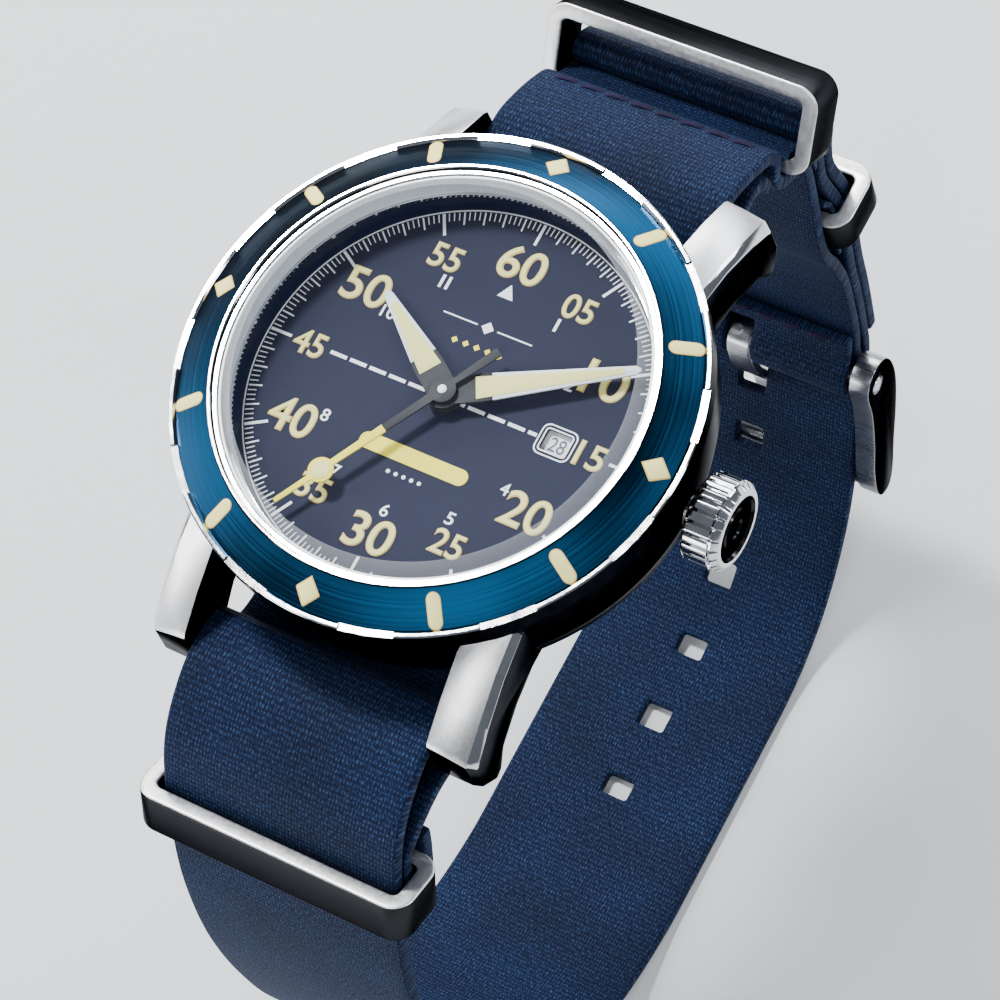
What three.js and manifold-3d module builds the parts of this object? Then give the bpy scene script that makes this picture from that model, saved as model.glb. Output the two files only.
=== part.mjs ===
// Dive watch on a two-layer webbing strap, dial up, standing on its closed strap loop.
// Millimetres. +Z is the dial's normal, +Y is twelve o'clock and +X is the crown side.
// Inside the head group z = 0 is the plane of the bezel's markers.

import * as THREE from "three";
import { mergeVertices } from "three/addons/utils/BufferGeometryUtils.js";
import Module from "manifold-3d";

const wasm = await Module();
wasm.setup();

// ---------- Driving dimensions ----------

const LUG_GAP = 22; // between the lugs, the strap's nominal width
const STRAP_WIDTH = 21.6;
const STRAP_THICK = 1.2;
const TAB_THICK = 0.5;

const BEZEL_RADIUS = 21.4;
const BEZEL_BORE = 17.62;
const RIM_WIDTH = 0.55; // bright rim outside the insert
const RIM_TOP = -0.45;
const BEZEL_BOTTOM = -2.6;
const RECESS_COUNT = 12;
const RECESS_ANGLE = 12; // degrees, each shallow step in the rim
const RECESS_DEPTH = 0.35;
const MARKER_RADIUS = 19.54;
const INSERT_SLOPE = -0.5; // rise per millimetre of radius
const INSERT_INNER = 17.92;
const INSERT_THICK = 0.5;

const NECK_OUTER = 17.55; // case neck that the bezel turns on
const NECK_BORE = 17.15;
const NECK_TOP = 0.55;
const CASE_RADIUS = 20.9;
const CASE_TOP = -2.72;
const CASE_BOTTOM = -10.2;
const BACK_BOTTOM = -13.6;
const LUG_OUTER = 14.85;
const BAR_Y = 22.6; // spring bars
const BAR_Z = -11.0;
const BAR_RADIUS = 0.8;

const CRYSTAL_RADIUS = 16.86;
const CRYSTAL_BOTTOM = -1.95;
const CRYSTAL_TOP = 1.25;
const DIAL_TOP = -4.2;
const DIAL_THICK = 0.4;
const DIAL_RADIUS = 16.9;
const DATE_X = 9.7; // middle of the date window

// Where each hand points, in minutes on the dial.
const HOUR_HAND_AT = 50.8;
const MINUTE_HAND_AT = 10.1;
const SECONDS_HAND_AT = 35;

const CROWN_Z = -7.0;
const CROWN_RADIUS = 3.7;
const CROWN_START = 21.8;
const CROWN_END = 25.0;
const CROWN_RIBS = 24;

const KEEPER_WIDTH = 4.0; // along the strap
const KEEPER_THICK = 1.4;
const KEEPER_OUTER = 25.2; // across the strap

const BUCKLE_Y = 32.9; // hinge bar
const BUCKLE_Z = -54.4;
const ARM_INNER = 11.3;
const ARM_OUTER = 13.3;

// ---------- Materials ----------

function finish(color, roughness, metalness) {
  return new THREE.MeshStandardMaterial({ color, roughness, metalness });
}

const looks = {
  brushedSteel: () => finish(0xb9bcc0, 0.35, 1),
  polishedSteel: () => finish(0xd9dcdf, 0.12, 1),
  insertBlue: () => finish(0x12466e, 0.35, 0.8),
  crystal: () => finish(0xe8f1f5, 0.03, 0),
  gasket: () => finish(0x1b1b1d, 0.7, 0),
  dial: () => finish(0x2f3250, 0.6, 0),
  rehaut: () => finish(0x101427, 0.4, 0.2),
  whitePrint: () => finish(0xe9e9e4, 0.6, 0),
  handGrey: () => finish(0x3a3c40, 0.4, 0.6),
  handYellow: () => finish(0xf0dc62, 0.45, 0),
  brass: () => finish(0xc9a45a, 0.3, 1),
  nickel: () => finish(0xc6c7c9, 0.25, 1),
  holder: () => finish(0xd7d7d2, 0.6, 0),
  webbing: () => finish(0x16335e, 0.95, 0),
};

// ---------- Solids ----------

function toSolid(geometry) {
  const bare = geometry.clone();
  bare.deleteAttribute("normal");
  bare.deleteAttribute("uv");
  const merged = mergeVertices(bare, 1e-4);
  const vertProperties = new Float32Array(merged.attributes.position.array);
  const triVerts = new Uint32Array(merged.index.array);
  return new wasm.Manifold(new wasm.Mesh({ numProp: 3, vertProperties, triVerts }));
}

function toGeometry(solid) {
  const mesh = solid.getMesh();
  const geometry = new THREE.BufferGeometry();
  geometry.setAttribute("position", new THREE.BufferAttribute(mesh.vertProperties, 3));
  geometry.setIndex(new THREE.BufferAttribute(mesh.triVerts, 1));
  geometry.computeVertexNormals();
  return geometry;
}

function join(geometries) {
  return toGeometry(geometries.map(toSolid).reduce((whole, part) => whole.add(part)));
}

function cut(geometry, tools) {
  return toGeometry(tools.map(toSolid).reduce((whole, tool) => whole.subtract(tool), toSolid(geometry)));
}

function common(geometry, other) {
  return toGeometry(toSolid(geometry).intersect(toSolid(other)));
}

// Revolves a profile of [radius, z], given anticlockwise, about the Z axis.
function turned(profile, segments = 40, closed = true) {
  const points = profile.map(([radius, z]) => new THREE.Vector2(radius, z));
  if (closed) {
    points.push(points[0].clone());
  }
  return new THREE.LatheGeometry(points, segments).rotateX(Math.PI / 2);
}

// A flat washer from its two radii and its two levels.
function ring(inner, outer, low, high, segments = 40) {
  return turned([[inner, low], [outer, low], [outer, high], [inner, high]], segments);
}

function disc(radius, low, high, segments = 16) {
  return new THREE.CylinderGeometry(radius, radius, high - low, segments)
    .rotateX(Math.PI / 2)
    .translate(0, 0, (low + high) / 2);
}

function block(from, to) {
  const size = to.map((value, axis) => value - from[axis]);
  const middle = to.map((value, axis) => (value + from[axis]) / 2);
  return new THREE.BoxGeometry(...size).translate(...middle);
}

// A plate with a flat outline of [x, y], from one level to the other.
function plate(outline, low, high) {
  const shape = new THREE.Shape(outline.map(([x, y]) => new THREE.Vector2(x, y)));
  const options = { depth: high - low, bevelEnabled: false };
  return new THREE.ExtrudeGeometry(shape, options).translate(0, 0, low);
}

// Turns shapes drawn in (y, z) and extruded along +Z so that they run along X.
const ALONG_X = new THREE.Matrix4().makeBasis(
  new THREE.Vector3(0, 1, 0),
  new THREE.Vector3(0, 0, 1),
  new THREE.Vector3(1, 0, 0)
);

// A piece with one side outline of [y, z], from one x to the other.
function sideProfile(outline, fromX, toX) {
  const shape = new THREE.Shape(outline.map(([y, z]) => new THREE.Vector2(y, z)));
  const options = { depth: toX - fromX, bevelEnabled: false };
  return new THREE.ExtrudeGeometry(shape, options).applyMatrix4(ALONG_X).translate(fromX, 0, 0);
}

// A round bar along X.
function barAlongX(radius, fromX, toX, y, z, segments = 16) {
  return new THREE.CylinderGeometry(radius, radius, toX - fromX, segments)
    .rotateZ(Math.PI / 2)
    .translate((fromX + toX) / 2, y, z);
}

// A turned piece about an axis along +X at height z, its profile given as [radius, x].
function turnedAlongX(profile, y, z, segments = 16, closed = true) {
  return turned(profile, segments, closed).rotateY(Math.PI / 2).translate(0, y, z);
}

function place(x, y, geometry) {
  return geometry.translate(x, y, 0);
}

function circlePoints(radius, count, x = 0, y = 0) {
  return Array.from({ length: count }, (_, step) => {
    const angle = (2 * Math.PI * step) / count;
    return [x + radius * Math.cos(angle), y + radius * Math.sin(angle)];
  });
}

// A gear wheel with pointed teeth, its spokes left as one web.
function wheel(tip, teeth, low, high) {
  const outline = [];
  for (let tooth = 0; tooth < teeth; tooth += 1) {
    for (const [share, radius] of [[0, tip], [0.5, tip * 0.95]]) {
      const angle = (2 * Math.PI * (tooth + share)) / teeth;
      outline.push([radius * Math.cos(angle), radius * Math.sin(angle)]);
    }
  }
  return plate(outline, low, high);
}

// ---------- Flat strips that follow a line in the YZ plane ----------

const FINE_STEP = 0.15;

// Evenly spaced points on a smooth curve through points of [y, z].
function finePoints(points) {
  const vectors = points.map(([y, z]) => new THREE.Vector3(0, y, z));
  const curve = new THREE.CatmullRomCurve3(vectors, false, "centripetal");
  return curve.getSpacedPoints(Math.ceil(curve.getLength() / FINE_STEP));
}

// Keeps only some points of the smooth curve, close together only where it bends.
function smoothLine(points) {
  const fine = finePoints(points);
  const kept = [fine[0]];
  let heading = fine[1].clone().sub(fine[0]);
  for (let index = 1; index < fine.length - 1; index += 1) {
    const step = fine[index + 1].clone().sub(fine[index]);
    const last = kept[kept.length - 1];
    if (step.angleTo(heading) > 0.24 || last.distanceTo(fine[index]) > 5) {
      kept.push(fine[index]);
      heading = step;
    }
  }
  kept.push(fine[fine.length - 1]);
  return kept.map((point) => new THREE.Vector2(point.y, point.z));
}

function edgeOf(line, offset) {
  return line.map((point, index) => {
    const before = line[Math.max(index - 1, 0)];
    const after = line[Math.min(index + 1, line.length - 1)];
    const along = after.clone().sub(before).normalize();
    return [point.x - along.y * offset, point.y + along.x * offset];
  });
}

function strip(points, thickness, width) {
  const line = smoothLine(points);
  const outline = [...edgeOf(line, thickness / 2), ...edgeOf(line, -thickness / 2).reverse()];
  return sideProfile(outline, -width / 2, width / 2);
}

// ---------- Case ----------

// One lug's side outline of [y, z]; drop lowers its top edge, inset draws its sides in.
function lugOutline(drop, inset) {
  return [
    [10, -3.0 - drop * 0.4],
    [15, -3.1 - drop * 0.6],
    [18.5, -4.0 - drop * 0.8],
    [21.8, -5.5 - drop],
    [24.6 - inset, -7.15 - drop],
    [25.05 - inset, -7.6 - drop],
    [25.25 - inset, -12.0],
    [24.7 - inset, -13.6 + inset],
    [23.5, -14.5 + inset],
    [22.7, -14.2 + inset],
    [21.5, -12.4 + inset],
    [18.5, -10.2],
    [15.5, -9.3],
    [10, -9.3],
  ];
}

// Joins side outlines of equal length, one at each x, into one closed body.
function lofted(outlines) {
  const count = outlines[0].points.length;
  const positions = [];
  for (const { x, points } of outlines) {
    for (const [y, z] of points) {
      positions.push(x, y, z);
    }
  }
  const faces = THREE.ShapeUtils.triangulateShape(
    outlines[0].points.map(([y, z]) => new THREE.Vector2(y, z)),
    []
  );
  const last = (outlines.length - 1) * count;
  const index = [];
  for (const [a, b, c] of faces) {
    index.push(a, c, b, last + a, last + b, last + c);
  }
  for (let layer = 0; layer < outlines.length - 1; layer += 1) {
    for (let corner = 0; corner < count; corner += 1) {
      const next = (corner + 1) % count;
      const near = layer * count;
      const far = near + count;
      index.push(near + corner, far + corner, far + next, near + corner, far + next, near + next);
    }
  }
  const geometry = new THREE.BufferGeometry();
  geometry.setAttribute("position", new THREE.Float32BufferAttribute(positions, 3));
  geometry.setIndex(index);
  return geometry;
}

// Turns a closed body's faces outwards after its points were mirrored.
function reversed(geometry) {
  const order = Array.from(geometry.index.array);
  for (let corner = 0; corner < order.length; corner += 3) {
    [order[corner + 1], order[corner + 2]] = [order[corner + 2], order[corner + 1]];
  }
  return geometry.setIndex(order);
}

function lug(sideX, sideY) {
  const sections = [
    { x: LUG_GAP / 2, points: lugOutline(0, 0) },
    { x: LUG_OUTER - 0.6, points: lugOutline(1.2, 0) },
    { x: LUG_OUTER, points: lugOutline(1.9, 0.5) },
  ];
  const geometry = lofted(sections).scale(sideX, sideY, 1);
  return sideX * sideY < 0 ? reversed(geometry) : geometry;
}

const CORNERS = [[1, 1], [-1, 1], [-1, -1], [1, -1]];

function caseMiddle() {
  const body = turned(
    [
      [NECK_BORE, CASE_BOTTOM],
      [19.3, CASE_BOTTOM],
      [20.5, -9.0],
      [CASE_RADIUS, -7.2],
      [CASE_RADIUS, -3.1],
      [20.6, CASE_TOP],
      [20.0, CASE_TOP],
      [20.0, -3.1],
      [18.4, -3.1],
      [18.4, CASE_TOP],
      [NECK_OUTER, CASE_TOP],
      [NECK_OUTER, NECK_TOP],
      [NECK_BORE, NECK_TOP],
      [NECK_BORE, -2.05],
      [16.72, -2.05],
      [16.72, -2.35],
      [NECK_BORE, -2.35],
    ],
    48
  );
  const cavity = disc(NECK_BORE, CASE_BOTTOM - 1, -2.35, 48);
  const lugs = CORNERS.map(([sideX, sideY]) => cut(lug(sideX, sideY), [cavity]));
  const recess = (side) => block([-11, side > 0 ? 20.35 : -24, -16], [11, side > 0 ? 24 : -20.35, -6.5]);
  const barHoles = [1, -1].flatMap((side) => [
    barAlongX(0.45, 10.5, 12.4, side * BAR_Y, BAR_Z),
    barAlongX(0.45, -12.4, -10.5, side * BAR_Y, BAR_Z),
  ]);
  const tubeHole = barAlongX(1.33, 15, 22, 0, CROWN_Z);
  return cut(join([body, ...lugs]), [recess(1), recess(-1), ...barHoles, tubeHole]);
}

function caseBack() {
  const cup = turned([
    [0, BACK_BOTTOM],
    [16.6, BACK_BOTTOM],
    [17.4, -13.0],
    [18.7, -12.4],
    [18.7, -10.25],
    [18.25, -10.25],
    [18.25, -10.6],
    [17.55, -10.6],
    [17.55, -10.25],
    [17.05, -10.25],
    [17.05, -9.3],
    [16.2, -9.3],
    [16.2, -12.3],
    [0, -12.3],
  ], 40, false);
  const notches = circlePoints(17.2, 6).map(([x, y], step) =>
    block([-1.4, -1.0, BACK_BOTTOM - 1], [1.4, 1.0, -12.9])
      .rotateZ((Math.PI * step) / 3 + Math.PI / 2)
      .translate(x, y, 0)
  );
  return cut(cup, notches);
}

// ---------- Bezel, crystal and dial ----------

function insertHeight(radius) {
  return (radius - MARKER_RADIUS) * INSERT_SLOPE;
}

function bezelRing() {
  const trayOuter = BEZEL_RADIUS - RIM_WIDTH;
  const trayInner = INSERT_INNER - 0.05;
  const floor = INSERT_THICK + 0.05;
  const body = turned(
    [
      [BEZEL_BORE, BEZEL_BOTTOM],
      [BEZEL_RADIUS - 0.15, BEZEL_BOTTOM],
      [BEZEL_RADIUS, BEZEL_BOTTOM + 0.15],
      [BEZEL_RADIUS, RIM_TOP - 0.15],
      [BEZEL_RADIUS - 0.15, RIM_TOP],
      [trayOuter, RIM_TOP],
      [trayOuter, insertHeight(trayOuter) - floor],
      [trayInner, insertHeight(trayInner) - floor],
      [trayInner, insertHeight(INSERT_INNER) + 0.12],
      [BEZEL_BORE, insertHeight(INSERT_INNER) + 0.12],
    ],
    72
  );
  const steps = Array.from({ length: RECESS_COUNT }, (_, index) => {
    const middle = (Math.PI / 180) * (90 - 16 - index * (360 / RECESS_COUNT));
    const half = (Math.PI / 180) * (RECESS_ANGLE / 2);
    const outline = [[trayOuter - 0.02, -half], [22, -half], [22, half], [trayOuter - 0.02, half]];
    const corners = outline.map(([radius, turn]) => [
      radius * Math.cos(middle + turn),
      radius * Math.sin(middle + turn),
    ]);
    return plate(corners, RIM_TOP - RECESS_DEPTH, RIM_TOP + 1);
  });
  return cut(body, steps);
}

function bezelInsert() {
  const outer = BEZEL_RADIUS - RIM_WIDTH - 0.07;
  return turned(
    [
      [INSERT_INNER, insertHeight(INSERT_INNER) - INSERT_THICK],
      [outer, insertHeight(outer) - INSERT_THICK],
      [outer, insertHeight(outer)],
      [INSERT_INNER, insertHeight(INSERT_INNER)],
    ],
    72
  );
}

function crystal() {
  return turned(
    [
      [0, CRYSTAL_BOTTOM],
      [CRYSTAL_RADIUS, CRYSTAL_BOTTOM],
      [CRYSTAL_RADIUS, CRYSTAL_TOP - 0.85],
      [CRYSTAL_RADIUS - 0.8, CRYSTAL_TOP - 0.1],
      [0, CRYSTAL_TOP],
    ],
    48,
    false
  );
}

function dialPlate() {
  const plateDisc = ring(1.15, DIAL_RADIUS, DIAL_TOP - DIAL_THICK, DIAL_TOP);
  const dateWindow = block([DATE_X - 1.15, -0.95, -5], [DATE_X + 1.15, 0.95, -4]);
  return cut(plateDisc, [dateWindow]);
}

// ---------- Hands ----------

// A pointed baton hand towards +Y with a round hub and a hole of the given radius.
function batonHand(length, widest, start, tip, hub, hole, low, high) {
  const outline = [
    [-hub * 0.85, hub * 0.5],
    [-widest, start],
    [-tip, length - tip],
    [-tip * 0.5, length],
    [tip * 0.5, length],
    [tip, length - tip],
    [widest, start],
    [hub * 0.85, hub * 0.5],
  ];
  return cut(join([plate(outline, low, high), disc(hub, low, high)]), [disc(hole, low - 1, high + 1)]);
}

function secondsHand(low, high) {
  const stem = [
    [-0.42, -5.25],
    [0.42, -5.25],
    [0.22, 0],
    [0.37, 5.4],
    [0.26, 10.2],
    [0.2, 15.5],
    [-0.2, 15.5],
    [-0.26, 10.2],
    [-0.37, 5.4],
    [-0.22, 0],
  ];
  return join([plate(stem, low, high), disc(1.1, low, high), place(0, 11.2, disc(1.05, low, high))]);
}

// Turns a hand drawn towards twelve o'clock clockwise by a number of dial minutes.
function atMinute(geometry, minute) {
  return geometry.rotateZ((-2 * Math.PI * minute) / 60);
}

// ---------- Movement ----------

const BARREL = [-5.6, -3.3];
const THIRD = [2.2, -2.35];
const ESCAPE = [1.0, 3.27];
const PALLETS = [0.6, 6.3];
const BALANCE = [-1.5, 8.7];

// Heights of the main plate, of the bridges over the wheels, and of the arbors' ends.
const PLATE_RADIUS = 13;
const PLATE_LOW = -6.2;
const PLATE_HIGH = -5.4;
const BRIDGE_LOW = -10.9;
const BRIDGE_HIGH = -10.3;
const ARBOR_LOW = -10.8;
const ARBOR_HIGH = -5.6;
const JEWEL = 0.3; // radius of the holes that the arbors turn in

function withArbor([x, y], disk, pinion, pinionLow, pinionHigh, low, high) {
  const parts = [disk, disc(pinion, pinionLow, pinionHigh, 16), disc(0.22, low, high, 10)];
  return place(x, y, join(parts));
}

function mainPlate() {
  const jewels = [THIRD, ESCAPE, PALLETS, BALANCE].map((centre) => [...centre, JEWEL]);
  const holes = [[0, 0, 1.1], [...BARREL, 0.8], ...jewels];
  const tools = holes.map(([x, y, radius]) => place(x, y, disc(radius, -7, -5, 16)));
  return cut(disc(PLATE_RADIUS, PLATE_LOW, PLATE_HIGH, 40), tools);
}

function trainBridge() {
  const lowerEdge = [[-11.2, -5.8], [-4, -11.8], [6, -10.8], [11, -5]];
  const upperEdge = [[10.5, 3.2], [4.5, 7.6], [-0.9, 6.6], [-4, 3.4]];
  const footPlaces = [[9.6, -5.5], [-2.4, -11.0], [8.9, 3.4]];
  const holes = [[0, 0], THIRD, ESCAPE, PALLETS].map(([x, y]) => place(x, y, disc(JEWEL, -12, -9, 12)));
  const feet = footPlaces.map(([x, y]) => place(x, y, disc(0.7, BRIDGE_HIGH - 0.1, PLATE_LOW - 0.05, 12)));
  return cut(join([plate([...lowerEdge, ...upperEdge], BRIDGE_LOW, BRIDGE_HIGH), ...feet]), holes);
}

function balanceCock() {
  const outline = [[-3.4, 7.4], [-0.2, 8.0], [1.6, 10.4], [0.8, 12.6], [-4.4, 11.8]];
  const foot = place(0, 12.2, disc(0.6, BRIDGE_HIGH - 0.1, PLATE_LOW - 0.05, 12));
  const jewel = place(...BALANCE, disc(JEWEL, -12, -9, 12));
  return cut(join([plate(outline, BRIDGE_LOW, BRIDGE_HIGH), foot]), [jewel]);
}

function palletFork() {
  const [x, y] = PALLETS;
  const tail = [[-0.2, 0], [-1.35, 1.8], [-1.2, 1.95], [0.25, 0.25]];
  const arms = [[1.2, -0.4], [1.2, -0.8], [0, -0.3], [-1.0, -0.8]];
  return place(x, y, join([plate([...tail, ...arms], -9.25, -9.05), disc(0.22, ARBOR_LOW, ARBOR_HIGH, 10)]));
}

function balanceWheel() {
  const rim = ring(2.4, 2.85, -8.9, -8.5, 24);
  const arms = [block([-2.6, -0.2, -8.8], [2.6, 0.2, -8.6]), disc(0.7, -9.0, -8.4, 16)];
  return place(...BALANCE, join([rim, ...arms, disc(0.22, -10.8, -5.6, 10)]));
}

// The hairspring is a flat spiral ribbon above the balance.
function hairspring() {
  const turns = 4;
  const steps = 40;
  const spiral = (offset) => Array.from({ length: steps + 1 }, (_, step) => {
    const angle = (2 * Math.PI * turns * step) / steps;
    const radius = 0.9 + (1.6 * step) / steps + offset;
    return [radius * Math.cos(angle), radius * Math.sin(angle)];
  });
  return place(...BALANCE, plate([...spiral(0.05), ...spiral(-0.05).reverse()], -9.7, -9.4));
}

function rotorWeight() {
  const half = [[0, 0]];
  for (let step = 0; step <= 20; step += 1) {
    const angle = (Math.PI * step) / 20;
    half.push([13 * Math.cos(angle), -13 * Math.sin(angle)]);
  }
  const rim = common(ring(10.6, 13, -12.1, -11.3), block([-14, -14, -13], [14, 0, -11]));
  const web = common(plate(half, -11.7, -11.35), block([-14, -14, -13], [14, 1, -11]));
  return cut(join([web, rim, disc(2.4, -11.8, -11.3)]), [disc(1.35, -13, -11)]);
}

// ---------- Crown and winding stem ----------

function crown() {
  const ribs = [];
  const pitch = (2 * Math.PI) / CROWN_RIBS;
  for (let rib = 0; rib < CROWN_RIBS; rib += 1) {
    for (const [share, radius] of [[0.1, 3.45], [0.18, CROWN_RADIUS], [0.82, CROWN_RADIUS], [0.9, 3.45]]) {
      const angle = (rib + share) * pitch;
      ribs.push([radius * Math.cos(angle), radius * Math.sin(angle)]);
    }
  }
  const ribbed = plate(ribs, CROWN_START, CROWN_END).rotateY(Math.PI / 2).translate(0, 0, CROWN_Z);
  const envelope = turnedAlongX(
    [
      [0, CROWN_START],
      [3.3, CROWN_START],
      [3.8, CROWN_START + 0.4],
      [3.8, CROWN_END - 0.75],
      [3.1, CROWN_END],
      [2.75, CROWN_END],
      [2.6, CROWN_END - 0.25],
      [0, CROWN_END - 0.25],
    ],
    0,
    CROWN_Z,
    24,
    false
  );
  return cut(common(ribbed, envelope), [barAlongX(1.5, 20, 24.0, 0, CROWN_Z)]);
}

// ---------- Strap hardware ----------

// A keeper's own frame: out points away from the wrist, along points away from the head.
function keeperFrame(y, z, degrees) {
  const angle = (Math.PI / 180) * degrees;
  const side = Math.sign(y);
  return {
    origin: [y, z],
    out: [Math.cos(angle), Math.sin(angle)],
    along: [side * Math.sin(angle), -side * Math.cos(angle)],
  };
}

function spot({ origin, out, along }, outward, down) {
  return [0, 1].map((axis) => origin[axis] + outward * out[axis] + down * along[axis]);
}

// The front keeper's frame lies on the strap's middle line, the others' on their lower bar.
const FRONT = keeperFrame(-33.45, -16.6, 155.8);
const TOP = keeperFrame(32.7, -16.6, 53.13);
const REAR = keeperFrame(35.2, -30.0, 0);
const FRONT_RING = { low: -3.65, high: 2.6, start: 0.27 };
const TOP_RING = { low: 0, high: 8.1, start: 0 };
const REAR_RING = { low: 0, high: 6.7, start: 0 };

function roundedRectangle(path, width, low, high, radius) {
  const half = width / 2;
  path.moveTo(-half + radius, low);
  path.lineTo(half - radius, low);
  path.absarc(half - radius, low + radius, radius, -Math.PI / 2, 0);
  path.absarc(half - radius, high - radius, radius, 0, Math.PI / 2);
  path.absarc(-half + radius, high - radius, radius, Math.PI / 2, Math.PI);
  path.absarc(-half + radius, low + radius, radius, Math.PI, 1.5 * Math.PI);
  return path;
}

function keeper(frame, { low, high, start }) {
  const shape = roundedRectangle(new THREE.Shape(), KEEPER_OUTER, low, high, 1.9);
  const opening = roundedRectangle(
    new THREE.Path(),
    KEEPER_OUTER - 2 * KEEPER_THICK,
    low + KEEPER_THICK,
    high - KEEPER_THICK,
    0.6
  );
  shape.holes.push(opening);
  const options = { depth: KEEPER_WIDTH, bevelEnabled: false, curveSegments: 4 };
  const [y, z] = frame.origin;
  const across = new THREE.Vector3(1, 0, 0);
  const out = new THREE.Vector3(0, ...frame.out);
  const along = across.clone().cross(out);
  const begin = along.y * frame.along[0] + along.z * frame.along[1] > 0 ? start : -start - KEEPER_WIDTH;
  return new THREE.ExtrudeGeometry(shape, options)
    .translate(0, 0, begin)
    .applyMatrix4(new THREE.Matrix4().makeBasis(across, out, along))
    .translate(0, y, z);
}

function buckleArm(side) {
  const outline = [
    [31.9, -52.4],
    [31.2, -53.6],
    [31.0, -57],
    [30.1, -61.5],
    [28.9, -65.5],
    [28.5, -68.8],
    [29.0, -70.4],
    [30.2, -70.8],
    [31.2, -69.8],
    [32.9, -65.5],
    [34.7, -61],
    [35.7, -57],
    [35.5, -54],
    [34.7, -52.5],
    [33.2, -51.9],
  ];
  const inner = side > 0 ? ARM_INNER : -ARM_OUTER;
  return sideProfile(outline, inner, inner + ARM_OUTER - ARM_INNER);
}

function buckleFrame() {
  const endBar = barAlongX(1.0, -ARM_OUTER + 0.2, ARM_OUTER - 0.2, 29.95, -69.6, 16);
  const hingeHole = barAlongX(BAR_RADIUS + 0.06, -14, 14, BUCKLE_Y, BUCKLE_Z, 20);
  return cut(join([buckleArm(1), buckleArm(-1), endBar]), [hingeHole]);
}

function around([y, z], radius, degrees) {
  const angle = (Math.PI / 180) * degrees;
  return [y + radius * Math.cos(angle), z + radius * Math.sin(angle)];
}

const TONGUE = [
  around([BUCKLE_Y, BUCKLE_Z], 1.42, 10),
  around([BUCKLE_Y, BUCKLE_Z], 1.42, 55),
  around([BUCKLE_Y, BUCKLE_Z], 1.42, 100),
  around([BUCKLE_Y, BUCKLE_Z], 1.42, 145),
  around([BUCKLE_Y, BUCKLE_Z], 1.42, 185),
  [31.4, -57.0],
  [31.7, -58.8],
  [32.5, -61.0],
  [33.4, -63.6],
  [33.1, -66.8],
  [31.9, -69.4],
  [30.9, -71.4],
];

// ---------- Strap ----------

// Middle line of the long strap: fold at the buckle, up the back, over the twelve o'clock bar,
// under the head, over the six o'clock bar, round the bottom, through the buckle and up to the
// fold in the top keeper, then down outside itself to its end.
const FOLD_RADIUS = 1.52;
const TURN_RADIUS = 0.74;
const hinge = [BUCKLE_Y, BUCKLE_Z];
const bar = [BAR_Y, BAR_Z];
const turnBack = spot(TOP, 3.34, 2.9);

const STRAP_LINE = [
  [34.0, -49.4],
  [33.1, -51.5],
  around(hinge, 1.75, 150),
  around(hinge, FOLD_RADIUS, 190),
  around(hinge, FOLD_RADIUS, 230),
  around(hinge, FOLD_RADIUS, 270),
  around(hinge, FOLD_RADIUS, 310),
  around(hinge, FOLD_RADIUS, 350),
  [34.6, -52.6],
  [35.2, -50.2],
  [35.6, -46],
  [35.8, -41],
  [35.2, -37],
  [34.5, -34.4],
  [34.5, -30.4],
  [35.0, -27],
  [35.3, -24],
  [35.5, -21.4],
  spot(TOP, -0.72, 3.9),
  spot(TOP, -0.72, 2.2),
  spot(TOP, -0.76, -0.2),
  [31.65, -15.45],
  [32.35, -13.9],
  [31.9, -12.6],
  [30.4, -11.4],
  [28.6, -10.3],
  [25.6, -9.1],
  around(bar, FOLD_RADIUS, 90),
  around(bar, FOLD_RADIUS, 135),
  around(bar, FOLD_RADIUS, 180),
  [21.1, -12.2],
  [20.3, -13.6],
  [18.6, -14.25],
  [15, -14.3],
  [0, -14.3],
  [-15, -14.3],
  [-18.6, -14.25],
  [-20.3, -13.6],
  [-21.1, -12.2],
  around([-BAR_Y, BAR_Z], FOLD_RADIUS, 0),
  around([-BAR_Y, BAR_Z], FOLD_RADIUS, 45),
  around([-BAR_Y, BAR_Z], FOLD_RADIUS, 90),
  [-25.4, -9.3],
  [-28.6, -10.7],
  [-31.2, -12.9],
  spot(FRONT, 0, 0),
  [-36.65, -24.8],
  [-38.1, -30],
  [-39.5, -38.6],
  [-39.8, -48.4],
  [-39.0, -57.8],
  [-36.2, -67],
  [-30.5, -74.6],
  [-22, -79.6],
  [-14.5, -81.5],
  [-10.4, -81.7],
  [-9.6, -81.7],
  [8.2, -81.7],
  [9, -81.7],
  [14, -80.9],
  [19.1, -78.6],
  [23.9, -74.6],
  [27.2, -70.6],
  [29.9, -65.9],
  [32.4, -60.6],
  [34.6, -57.4],
  [35.9, -54.4],
  [36.5, -50.5],
  [36.95, -46],
  [37.2, -41],
  [37.7, -37],
  [38.0, -34.2],
  [38.0, -30.3],
  [37.4, -27.3],
  [37.0, -24.5],
  [37.35, -22.2],
  [38.0, -20.3],
  spot(TOP, 2.3, 5.4),
  spot(TOP, 2.62, 4.3),
  spot(TOP, 2.64, 2.9),
  around(turnBack, TURN_RADIUS, 188),
  around(turnBack, TURN_RADIUS, 143),
  around(turnBack, TURN_RADIUS, 98),
  spot(TOP, 4.08, 2.9),
  spot(TOP, 3.9, 4.6),
  spot(TOP, 3.1, 6.2),
  [39.7, -20.3],
  [38.8, -22.3],
  [38.4, -24.5],
  [38.8, -27.3],
  [39.35, -30.3],
  [39.35, -34.2],
  [39.05, -37],
  [38.55, -41],
  [38.25, -46],
  [37.8, -50.5],
  [37.5, -53],
];

const HOLE_COUNT = 7;
const HOLE_PITCH = 7.75;
const HOLE_WIDTH = 2.8;
const HOLE_LENGTH = 2.3;
const TONGUE_HOLE = [32.35, -60.8]; // the hole that the tongue goes through
const TONGUE_HOLE_LENGTH = 3.6;

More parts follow.
